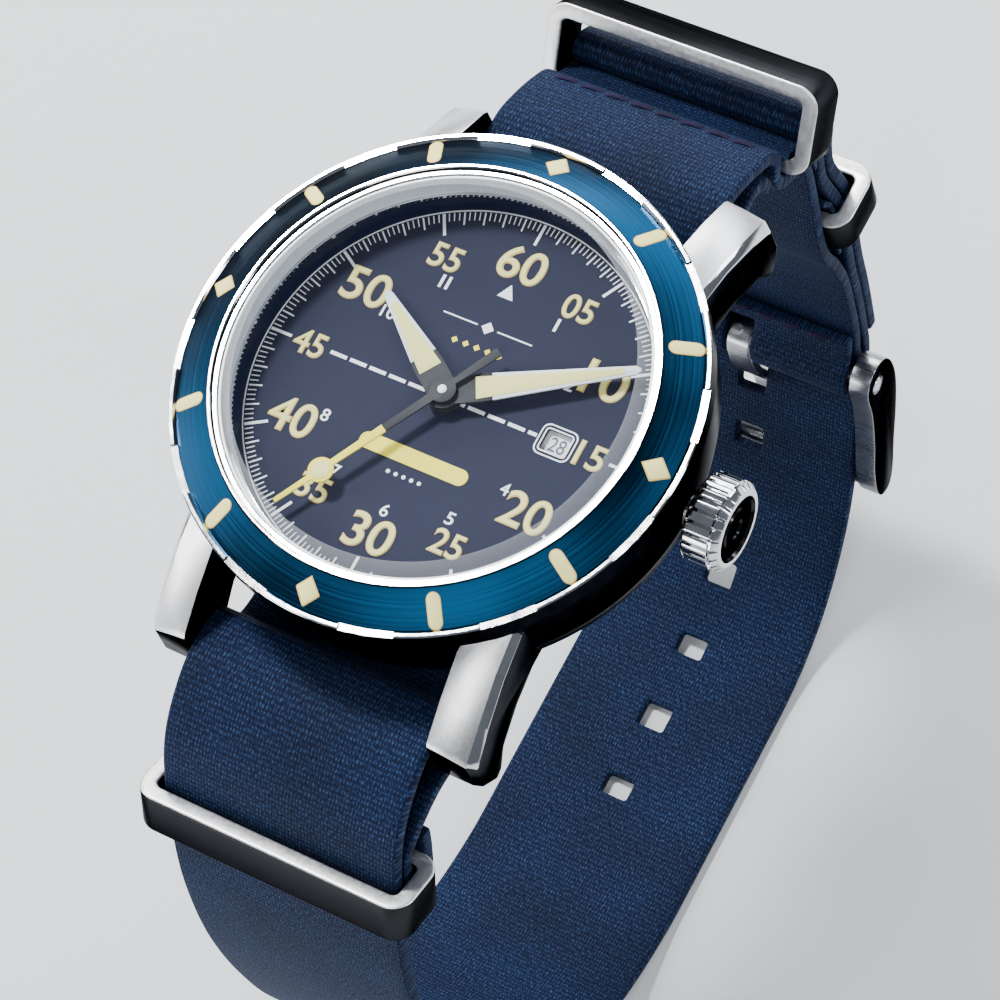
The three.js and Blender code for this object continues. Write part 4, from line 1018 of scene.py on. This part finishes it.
def make_dial():
    disc = rod("dial_fine", DIAL_RADIUS, DIAL_TOP - 0.4, DIAL_TOP, 160)
    combined(disc, rod("centre_hole", 1.15, -5, -4, 48))
    combined(disc, plate("window", date_outline(1.15, 0.95, 0.22), -5, -4))
    coated(disc, "dial")
    finished(disc, "case", ["dial"])

    inked = DIAL_TOP + INK
    track = turned("track_ring", [(16.4, DIAL_TOP), (16.5, DIAL_TOP), (16.5, inked), (16.4, inked)], 160)
    printed([track, *[ticks(*row) for row in TICKS]], "minute_track", "white")

    white = [digits(word, x, y, 1.05, 0.55 * len(word) + 0.15, DIAL_TOP, INK, 0.012) for word, x, y in HOURS]
    for x, y in ((-5.43, 8.87), (-4.85, 8.87), (5.0, 8.9)):
        white.append(stripe(x - 0.13, y - 0.57, x + 0.13, y + 0.57))
    white.append(plate("arrow", [(-0.7, 9.4), (0.7, 9.4), (0, 10.65)], DIAL_TOP, inked))
    dash = DASHES_FROM
    while dash < DASHES_TO - 0.5:
        white.append(stripe(dash, -0.15, min(dash + DASH_LENGTH, DASHES_TO), 0.15))
        dash += DASH_PITCH
    white += [date_border(grow) for grow in (0.0, 0.32)]
    for x_low, x_high in ((-4.0, -0.9), (0.9, 4.0)):
        white.append(stripe(x_low, RULE_Y - 0.06, x_high, RULE_Y + 0.06))
    white.append(lozenge(0, RULE_Y, 0.55, 0.55))
    for x in (-1.4, -0.7, 0, 0.7, 1.4):
        white.append(rod("dot", 0.17, DIAL_TOP, inked, 20, "Z", (x, -7.2, 0)))
    printed(white, "white_printing", "white")

    edges, fills = [], []
    for word, x, y, height, width in NUMERALS:
        edges.append(digits(word, x, y, height + 0.16, width + 0.16, DIAL_TOP, 0.05, 0.022))
        fills.append(digits(word, x, y, height, width, DIAL_TOP, 0.11, 0.0))
    printed(edges, "numeral_edges", "lume_edge")
    printed(fills, "numeral_fillings", "lume")
    bar = plate("yellow_bar", rounded_outline((-4.9, -6.2), (4.8, -4.8), 0.68, 8), DIAL_TOP, DIAL_TOP + 0.06)
    yellow = [bevelled(bar, 0.02, 1, 40), *[lozenge(x, 4.75, 0.3, 0.3) for x in (-2.0, -1.0, 0, 1.0, 2.0)]]
    printed(yellow, "yellow_printing", "yellow")


def make_date_numbers():
    """The date ring's numbers, the twenty-eighth behind the window."""
    numbers = []
    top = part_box("date_ring")[1].z
    level = (top - HEAD.z) / MM
    for number in range(1, 32):
        turn = -2 * math.pi * (number - 28) / 31
        x, y = DATE_X * math.cos(turn), DATE_X * math.sin(turn)
        wide = 0.62 * len(str(number)) + 0.12
        numbers.append(digits(str(number), x, y, 1.2, wide, level, 0.02, 0.0, turn))
    coated(joined(numbers, "date_numbers"), "ink")
    finished(numbers[0], "date_disc")


# ---------- Hands ----------


HAND_SHOULDER = 3.0  # a baton is widest here, this far from its axis
HAND_TIP = 0.38  # half of a baton's width where its point starts
LUME_MARGIN = 0.26
LOLLIPOP_Y = 11.2


def make_baton(name, body, minute, length, hub, widest, low, thick, lume_start, lume_end):
    """A baton hand: grey root, silver frame towards the tip and a luminous filling."""
    point = length - 0.4
    top = low + thick

    def half_width(y):
        return widest + (HAND_TIP - widest) * max(y - HAND_SHOULDER, 0) / (point - HAND_SHOULDER)

    split = lume_start + 1.4
    root = mirrored([(hub * 0.8, hub * 0.55), (widest, HAND_SHOULDER), (half_width(split), split)])
    root_plate = plate(name + "_root", root, low, top)
    combined(root_plate, rod("hub", hub, low, top, 64), "UNION")
    combined(root_plate, rod("hole", 0.3, low - 1, low + 1, 32))
    bevelled(root_plate, 0.04, 2, 40)
    tip = mirrored([(half_width(split), split), (HAND_TIP, point), (0.12, length)])
    tip_plate = bevelled(plate(name + "_tip", tip, low, top), 0.05, 2, 40)
    filling = mirrored([
        (half_width(lume_start) - LUME_MARGIN, lume_start + 0.1),
        (half_width(lume_end) - LUME_MARGIN * 0.8, lume_end),
    ])
    lume = bevelled(plate(name + "_filling", filling, top - 0.05, top + 0.05), 0.03, 2, 40)
    hang_hand(body, name, minute, [
        (root_plate, "hub_grey", "hand_paint"),
        (tip_plate, "silver", "hand_paint"),
        (lume, "lume", "white_paint"),
    ])


def hang_hand(body, node, minute, parts):
    """Turns a hand's parts to their minute and hangs them on their arbor; the first stands for the node."""
    for number, (piece, material, slot) in enumerate(parts):
        coated(turned_about_dial(piece, 6 * minute), material)
        finished(piece, body, () if number else [node])


def make_seconds_hand():
    low, thick = -2.55, 0.15
    top = low + thick
    root = plate("seconds_root", [
        (-0.42, -5.25), (0.42, -5.25), (0.24, -0.8), (0.38, 1.4), (0.33, 5.4), (-0.33, 5.4), (-0.38, 1.4),
        (-0.24, -0.8),
    ], low, top)
    combined(root, rod("hub", 1.1, low, top, 64), "UNION")
    bevelled(root, 0.04, 2, 40)
    point = plate("seconds_point", mirrored([(0.35, 5.4), (0.26, 10.3), (0.2, 15.5)])[::-1], low, top)
    middle = (0, LOLLIPOP_Y, 0)
    combined(point, rod("lollipop", 1.05, low, top, 64, "Z", middle), "UNION")
    bevelled(point, 0.035, 2, 40)
    lume_profile = [(0.75, low + 0.1), (0.75, top + 0.03), (0.7, top + 0.05)]
    lume = turned("seconds_filling", lume_profile, 48, True, "Z", middle)
    cap_profile = [(0.36, low + 0.1), (0.36, top + 0.08), (0.3, top + 0.12), (0.16, top + 0.14)]
    cap = turned("seconds_cap", cap_profile, 48, True)
    hang_hand("seconds_train", "seconds_hand", 35, [
        (root, "hub_grey", "hand_paint"),
        (point, "yellow", "hand_yellow"),
        (lume, "lume", "white_paint"),
        (cap, "white", "white_paint"),
    ])


def make_hands():
    make_baton("hour_hand", "hour_train", 50.8, 10.7, 1.5, 1.22, -3.55, 0.25, 2.5, 9.4)
    make_baton("minute_hand", "minute_train", 10.1, 15.5, 1.4, 1.22, -3.05, 0.2, 2.45, 14.2)
    make_seconds_hand()


# ---------- Crown ----------

CROWN_RIBS = 24
# One rib across the crown: the share of its pitch and the radius there.
RIB = [(0.0, 3.42), (0.08, 3.46), (0.15, 3.68), (0.22, 3.7), (0.78, 3.7), (0.85, 3.68), (0.92, 3.46)]
# Along the crown: x and the furthest that the ribs may reach there.
CROWN_SECTIONS = [
    (21.8, 3.25), (21.95, 3.5), (22.2, 3.72), (24.2, 3.72), (24.3, 3.5), (24.42, 3.5), (24.5, 3.64),
    (24.95, 3.2), (25.0, 3.1), (25.0, 2.75), (24.72, 2.6), (24.72, 1.75), (24.86, 1.6), (24.86, 0.9),
    (24.7, 0.8),
]


def crown_section(x, limit):
    """A ribbed ring of points across the crown, none further out than the limit."""
    points = []
    for rib in range(CROWN_RIBS):
        for share, radius in RIB:
            angle = 2 * math.pi * (rib + share) / CROWN_RIBS
            reach = min(radius, limit)
            points.append((x, reach * math.cos(angle), CROWN_Z + reach * math.sin(angle)))
    return points


def make_crown():
    crown = lofted("crown_fine", [crown_section(x, limit) for x, limit in CROWN_SECTIONS])
    combined(crown, rod("bore", 1.5, 20, 24.0, 48, "X", (0, 0, CROWN_Z)))
    coated(crown, "polished")
    # The crown's end face takes the darkened steel: painted shade.
    coated_where(crown, "painted_shade_steel", lambda place, normal:
                 math.hypot(place.y, place.z - CROWN_Z) < 2.68 and place.x > 24.5)
    finished(crown, "crown_and_stem", ["crown"], 25)


# ---------- Strap ----------

STRAP_WIDTH = 21.6
STRAP_THICK = 1.2
TAB_THICK = 0.5
HOLE_PITCH = 7.75
HOLE_HALF_WIDTH = 1.4
HOLE_LENGTH = 2.3
TONGUE_HOLE_LENGTH = 3.6
TONGUE_HOLE = (32.35, -60.8)
ROW = 0.5  # length of one row of the webbing's faces
COLUMNS = 16
CURVE_PARTS = 40


def around(middle, radius, degrees):
    angle = math.radians(degrees)
    return (middle[0] + radius * math.cos(angle), middle[1] + radius * math.sin(angle))


def keeper_frame(y, z, degrees):
    """A keeper's own frame: out points away from the wrist, along away from the head."""
    angle = math.radians(degrees)
    side = math.copysign(1, y)
    return (y, z), (math.cos(angle), math.sin(angle)), (side * math.sin(angle), -side * math.cos(angle))


def spot(keeper, outward_by, down):
    origin, out, along = keeper
    return tuple(origin[axis] + outward_by * out[axis] + down * along[axis] for axis in (0, 1))


FRONT = keeper_frame(-33.45, -16.6, 155.8)
TOP = keeper_frame(32.7, -16.6, 53.13)
REAR = keeper_frame(35.2, -30.0, 0)
HINGE = (32.9, -54.4)
BAR_12 = (BAR_Y, BAR_Z)
BAR_6 = (-BAR_Y, BAR_Z)
FOLD = 1.52
TURN_BACK = spot(TOP, 3.34, 2.9)

STRAP_LINE = [
    (34.0, -49.4), (33.1, -51.5), around(HINGE, 1.75, 150),
    *[around(HINGE, FOLD, degrees) for degrees in (190, 230, 270, 310, 350)],
    (34.6, -52.6), (35.2, -50.2), (35.6, -46), (35.8, -41), (35.2, -37), (34.5, -34.4), (34.5, -30.4),
    (35.0, -27), (35.3, -24), (35.5, -21.4), spot(TOP, -0.72, 3.9), spot(TOP, -0.72, 2.2),
    spot(TOP, -0.76, -0.2),
    (31.65, -15.45), (32.35, -13.9), (31.9, -12.6), (30.4, -11.4), (28.6, -10.3), (25.6, -9.1),
    *[around(BAR_12, FOLD, degrees) for degrees in (90, 135, 180)],
    (21.1, -12.2), (20.3, -13.6), (18.6, -14.25), (15, -14.3), (0, -14.3), (-15, -14.3), (-18.6, -14.25),
    (-20.3, -13.6), (-21.1, -12.2),
    *[around(BAR_6, FOLD, degrees) for degrees in (0, 45, 90)],
    (-25.4, -9.3), (-28.6, -10.7), (-31.2, -12.9), spot(FRONT, 0, 0), (-36.65, -24.8), (-38.1, -30),
    (-39.5, -38.6), (-39.8, -48.4), (-39.0, -57.8), (-36.2, -67), (-30.5, -74.6), (-22, -79.6),
    (-14.5, -81.5),
    (-10.4, -81.7), (-9.6, -81.7), (8.2, -81.7), (9, -81.7), (14, -80.9), (19.1, -78.6), (23.9, -74.6),
    (27.2, -70.6), (29.9, -65.9), (32.4, -60.6), (34.6, -57.4), (35.9, -54.4), (36.5, -50.5), (36.95, -46),
    (37.2, -41), (37.7, -37), (38.0, -34.2), (38.0, -30.3), (37.4, -27.3), (37.0, -24.5), (37.35, -22.2),
    (38.0, -20.3), spot(TOP, 2.3, 5.4), spot(TOP, 2.62, 4.3), spot(TOP, 2.64, 2.9),
    *[around(TURN_BACK, 0.74, degrees) for degrees in (188, 143, 98)],
    spot(TOP, 4.08, 2.9), spot(TOP, 3.9, 4.6), spot(TOP, 3.1, 6.2), (39.7, -20.3), (38.8, -22.3),
    (38.4, -24.5),
    (38.8, -27.3), (39.35, -30.3), (39.35, -34.2), (39.05, -37), (38.55, -41), (38.25, -46), (37.8, -50.5),
    (37.5, -53),
]
SHORT_LINE = [
    (30.35, -15.1), (30.0, -13.7), (28.6, -12.8), (26.5, -13.1), (24.3, -14.3), (21.8, -15.3),
    (18.5, -15.6),
    (0, -15.6), (-18.5, -15.6), (-22.5, -15.2), (-26.5, -14.6),
    *[spot(FRONT, out, down) for out, down in (
        (-1.55, -1.2), (-1.5, 1.0), (-1.55, 4.3), (-1.9, 5.5), (-2.95, 6.1), (-3.95, 5.5), (-4.38, 4.3),
        (-4.36, 0.5), (-4.1, -1.6),
    )],
]
TOP_TAB = [
    *[spot(TOP, out, down) for out, down in ((1.7, -0.75), (1.7, 0.4), (1.7, 3.9))],
    (37.25, -18.55), (36.75, -20.2), (36.42, -22.0),
]
REAR_TAB = [
    (36.0, -27.6),
    *[spot(REAR, out, down) for out, down in ((1.6, -1.1), (1.74, -0.1), (1.72, 4.1), (1.25, 5.1))],
    (36.2, -36.6),
]


def curve_point(points, index, share):
    """A point of the smooth curve between two listed points, its speed set by the gaps' square roots."""
    before = points[index - 1] if index else points[0] * 2 - points[1]
    start, end = points[index], points[index + 1]
    after = points[index + 2] if index + 2 < len(points) else end * 2 - start
    gaps = [max((b - a).length, 1e-6) ** 0.5 for a, b in ((before, start), (start, end), (end, after))]
    slopes = [(b - a) / gap for (a, b), gap in zip(((before, start), (start, end), (end, after)), gaps)]
    leave = (slopes[0] - (end - before) / (gaps[0] + gaps[1]) + slopes[1]) * gaps[1]
    arrive = (slopes[1] - (after - start) / (gaps[1] + gaps[2]) + slopes[2]) * gaps[1]
    square = (end - start) * 3 - leave * 2 - arrive
    cube = (start - end) * 2 + leave + arrive
    return start + leave * share + square * share**2 + cube * share**3


def smooth_line(points, step):
    """Evenly spaced points, and the whole length, of the smooth curve through points of [y, z]."""
    corners = [Vector(point) for point in points]
    dense = []
    for index in range(len(corners) - 1):
        dense += [curve_point(corners, index, part / CURVE_PARTS) for part in range(CURVE_PARTS)]
    dense.append(corners[-1])
    reached = [0.0]
    for here, there in zip(dense, dense[1:]):
        reached.append(reached[-1] + (there - here).length)
    count = max(round(reached[-1] / step), 2)
    even, index = [], 0
    for number in range(count + 1):
        target = reached[-1] * number / count
        while index < len(reached) - 2 and reached[index + 1] < target:
            index += 1
        share = (target - reached[index]) / max(reached[index + 1] - reached[index], 1e-9)
        even.append(dense[index].lerp(dense[index + 1], share))
    return even, reached[-1]


def ribbon(name, points, width, thickness, step=ROW, columns=COLUMNS, holes=(), edge=0.3):
    """A flat grid laid along a smooth line, its holes opened, then given thickness and round edges."""
    line, length = smooth_line(points, step)
    rows = len(line) - 1
    bpy.ops.object.select_all(action="DESELECT")
    bpy.ops.mesh.primitive_grid_add(x_subdivisions=columns, y_subdivisions=rows, size=2, calc_uvs=True)
    piece = bpy.context.object
    piece.name = name
    for vertex in piece.data.vertices:
        row = round((vertex.co.y + 1) / 2 * rows)
        across = vertex.co.x * width / 2
        vertex.co = in_metres((across, *line[row]))
    for layer in piece.data.uv_layers.active.data:
        layer.uv = (layer.uv[0] * width, layer.uv[1] * length)
    if holes:
        select_holes(piece, line, width / columns, holes)
        bpy.ops.object.mode_set(mode="EDIT")
        bpy.ops.mesh.delete(type="FACE")
        bpy.ops.object.mode_set(mode="OBJECT")
    wall = piece.modifiers.new("webbing thickness", "SOLIDIFY")
    wall.thickness = thickness * MM
    wall.offset = 0
    wall.use_even_offset = True
    apply_modifier(piece, wall)
    if edge:
        bevelled(piece, edge, 3, 50)
    outward(piece)
    piece.select_set(False)
    return piece


def select_holes(piece, line, column, holes):
    """Selects the faces that lie in a hole; a hole is its first row, the row after it and its half width."""
    bpy.ops.object.mode_set(mode="EDIT")
    bpy.ops.mesh.select_all(action="DESELECT")
    bpy.ops.mesh.select_mode(type="FACE")
    bpy.ops.object.mode_set(mode="OBJECT")
    rows = len(line) - 1
    columns = len(piece.data.polygons) // rows
    for number, face in enumerate(piece.data.polygons):
        row = number // columns
        across = abs((face.center.x - HEAD.x) / MM)
        face.select = any(first <= row < last and across < half for first, last, half in holes)


def nearest_row(line, point):
    return min(range(len(line)), key=lambda row: (line[row] - Vector(point)).length_squared)


def strap_holes():
    """Row ranges of the tail's holes, a pitch apart, and of the tongue's slot in the buckle fold."""
    line, length = smooth_line(STRAP_LINE, ROW)
    tongue_row = nearest_row(line, TONGUE_HOLE)
    rows_per_pitch = HOLE_PITCH / (length / (len(line) - 1))
    holes = []
    for hole in range(7):
        middle = tongue_row - hole * rows_per_pitch
        half = (HOLE_LENGTH if hole else TONGUE_HOLE_LENGTH) / 2 / ROW
        holes.append((round(middle - half), round(middle + half), HOLE_HALF_WIDTH))
    fold = nearest_row(line[:200], around(HINGE, FOLD, 190))
    holes.append((fold - 9, fold + 11, HOLE_HALF_WIDTH))
    return holes


def on_face(points, near, side, thickness):
    """A place on one face of a strip, to the left of its run or the right, and the direction off it."""
    line, _ = smooth_line(points, 0.25)
    row = nearest_row(line, near)
    run = (line[row + 1] - line[row - 1]).normalized()
    stands = Vector((-run.y, run.x)) * side
    return line[row] + stands * thickness / 2, stands


def stitch_row(name, place, stands, count, pitch, length, thick):
    """Double stitches end to end across the strap, each two threads that dive in at both ends."""
    circle = [(math.cos(math.pi * step / 5), math.sin(math.pi * step / 5)) for step in range(10)]
    run = Vector((stands.y, -stands.x))
    pieces = []
    for number in range(count * 2):
        x = (number // 2 - (count - 1) / 2) * pitch
        beside = (number % 2 - 0.5) * thick * 0.9
        sections = []
        for share in (-1, -0.92, -0.75, -0.4, 0, 0.4, 0.75, 0.92, 1):
            sink = abs(share) ** 3 * thick * 0.6
            centre = place + stands * (thick * 0.3 - sink) + run * (beside + share * thick * 0.4)
            ring = [centre + (stands * up + run * along) * thick / 2 for up, along in circle]
            sections.append([(x + share * length / 2, *point) for point in ring])
        pieces.append(lofted("stitch", sections))
    coated(joined(pieces, name), "thread")
    finished(pieces[0], "case", sharp=60)


def make_strap():
    bands = [
        ("strap_long", STRAP_LINE, STRAP_THICK, strap_holes(), 0.3),
        ("strap_short", SHORT_LINE, STRAP_THICK, (), 0.3),
        ("keeper_tab_top", TOP_TAB, TAB_THICK, (), 0.12),
        ("keeper_tab_rear", REAR_TAB, TAB_THICK, (), 0.12),
    ]
    for node, points, thickness, holes, edge in bands:
        band = ribbon(node + "_fine", points, STRAP_WIDTH, thickness, holes=holes, edge=edge)
        coated(band, "webbing")
        finished(band, "case", [node], 60)
    crest = on_face(STRAP_LINE[20:], (31.5, -12.2), -1, STRAP_THICK)
    stitch_row("crest_stitches", *crest, 8, 2.35, 1.9, 0.3)
    fold = on_face(STRAP_LINE[:8], (34.0, -49.8), -1, STRAP_THICK)
    stitch_row("fold_stitches", *fold, 7, 2.6, 1.7, 0.28)


# ---------- Keepers and buckle ----------

KEEPER_WIDTH = 4.0
KEEPER_THICK = 1.4
KEEPER_OUTER = 25.2


def make_keeper(name, keeper, low, high, start):
    """A rounded rectangular ring round the strap, its faces darkened as painted shade, its edges satin."""
    along = keeper[2]

    def ring(title, corner, radius, first, last):
        outline = rounded_outline((-corner[0], low + corner[1]), (corner[0], high - corner[1]), radius, 10)
        return lofted(title, [[(a, *spot(keeper, b, down)) for a, b in outline] for down in (first, last)])

    half, end = KEEPER_OUTER / 2, start + KEEPER_WIDTH
    keeper_ring = ring(name + "_fine", (half, 0), 1.9, start, end)
    combined(keeper_ring, ring("hole", (half - KEEPER_THICK, KEEPER_THICK), 0.6, start - 1, end + 1))
    bevelled(keeper_ring, 0.22, 3, 50)
    # The faces take the darkened steel, painted shade; the edges then take the satin steel.
    coated(keeper_ring, "keeper_face_painted_shade")
    coated_where(keeper_ring, "keeper_edge", lambda place, normal:
                 abs(normal.y * along[0] + normal.z * along[1]) > 0.5)
    finished(keeper_ring, "case", [name])


ARM_OUTLINE = [
    (31.9, -52.4), (31.2, -53.6), (31.0, -57), (30.1, -61.5), (28.9, -65.5), (28.5, -68.8), (29.0, -70.4),
    (30.2, -70.8), (31.2, -69.8), (32.9, -65.5), (34.7, -61), (35.7, -57), (35.5, -54), (34.7, -52.5),
    (33.2, -51.9),
]
BAR_PROFILE = [(0.6, -13.3), (0.78, -13.15), (0.8, -13.05), (0.8, 13.05), (0.78, 13.15), (0.6, 13.3)]
TONGUE_LINE = [
    *[around(HINGE, 1.42, degrees) for degrees in (10, 55, 100, 145, 185)],
    (31.4, -57.0), (31.7, -58.8), (32.5, -61.0), (33.4, -63.6), (33.1, -66.8), (31.9, -69.4), (30.9, -71.4),
]


def make_buckle():
    line, _ = smooth_line(ARM_OUTLINE + ARM_OUTLINE[:1], 0.5)
    outline = [tuple(point) for point in line[:-1]]
    arms = [side_plate("arm", outline, *sorted((side * 11.3, side * 13.3))) for side in (1, -1)]
    end_bar = rod("end_bar", 0.98, -12.5, 12.5, 32, "X", (0, 29.95, -69.6))
    loop = combined(combined(arms[0], arms[1], "UNION"), end_bar, "UNION")
    combined(loop, rod("pivot_hole", 0.86, -14, 14, 32, "X", (0, *HINGE)))
    loop.name = "buckle_frame_fine"
    bevelled(loop, 0.2, 3, 50)
    # The frame's steel is toned darker than the case's as painted shade, and its arms' flat sides take the
    # darkened steel, painted shade too.
    coated(loop, "painted_shade_buckle_steel")
    coated_where(loop, "painted_shade_steel", lambda place, normal: abs(normal.x) > 0.9)
    finished(loop, "buckle", ["buckle_frame"])

    bar = turned("buckle_bar_fine", BAR_PROFILE, 32, True, "X", (0, *HINGE))
    coated(bar, "small_steel")
    finished(bar, "case", ["buckle_bar"])

    tongue = ribbon("buckle_tongue_fine", TONGUE_LINE, 2.6, 1.0, 0.3, 6, edge=0.25)
    # The tongue takes the darker buckle steel: painted shade.
    coated(tongue, "painted_shade_buckle_steel")
    finished(tongue, "tongue", ["buckle_tongue"], 50)


# ---------- Springs inside the spring bars ----------

SPRING_REACH = 8.2
COIL_RADIUS = 0.38
WIRE_RADIUS = 0.08
COIL_STEPS = 14  # sections in a turn of the coil
COIL_SECTIONS = 3 * COIL_STEPS


def make_bar_spring(hour, side_y, end_name, side_x):
    """Half of a bar's spring, from the bar's middle to one pin."""
    wire = []
    for corner in range(6):
        angle = math.pi * corner / 3
        wire.append((WIRE_RADIUS * math.sin(angle), COIL_RADIUS + WIRE_RADIUS * math.cos(angle)))
    sections = []
    for step in range(COIL_SECTIONS + 1):
        angle = 2 * math.pi * step / COIL_STEPS
        middle_x = side_x * SPRING_REACH * step / COIL_SECTIONS
        sections.append([
            (middle_x + x, side_y * BAR_Y + math.cos(angle) * reach, BAR_Z + math.sin(angle) * reach)
            for x, reach in wire
        ])
    spring = lofted(f"spring_bar_spring_{hour}_{end_name}_fine", sections)
    coated(spring, "small_steel")
    finished(spring, "case", [f"spring_bar_spring_{hour}"] if side_x > 0 else (), 60)
    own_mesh(spring)


# ---------- CAD pieces that keep their shape ----------

CARRIED = {
    "rubber": ["case_back_gasket", "crown_gasket"],
    "gilt": [
        "hour_wheel", "mainspring_barrel", "centre_wheel", "third_wheel", "seconds_arbor", "escape_wheel",
        "balance_wheel",
    ],
    "nickel": ["main_plate", "train_bridge", "balance_cock", "rotor_weight"],
    "small_steel": [
        "bezel_click_spring", "cannon_pinion", "pallet_fork", "hairspring", "rotor_bearing", "crown_tube",
        "winding_stem", "sliding_pinion", "spring_bar_tube_12", "spring_bar_tube_6", "spring_bar_pin_12_right",
        "spring_bar_pin_12_left", "spring_bar_pin_6_right", "spring_bar_pin_6_left",
    ],
    "white": ["date_ring"],
    "holder": ["movement_holder"],
}


def coat_carried():
    for material, names in CARRIED.items():
        for name in names:
            coated(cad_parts[name], material)


place_camera()
place_floor()
place_lights()
make_case()
make_case_back()
make_bezel()
make_markers()
make_crystal()
make_dial()
make_date_numbers()
make_hands()
make_crown()
make_strap()
make_keeper("keeper_front", FRONT, -3.65, 2.6, 0.27)
make_keeper("keeper_top", TOP, 0, 8.1, 0)
make_keeper("keeper_rear", REAR, 0, 6.7, 0)
make_buckle()
for hour, side_y in (("12", 1), ("6", -1)):
    make_bar_spring(hour, side_y, "right", 1)
    make_bar_spring(hour, side_y, "left", -1)
coat_carried()
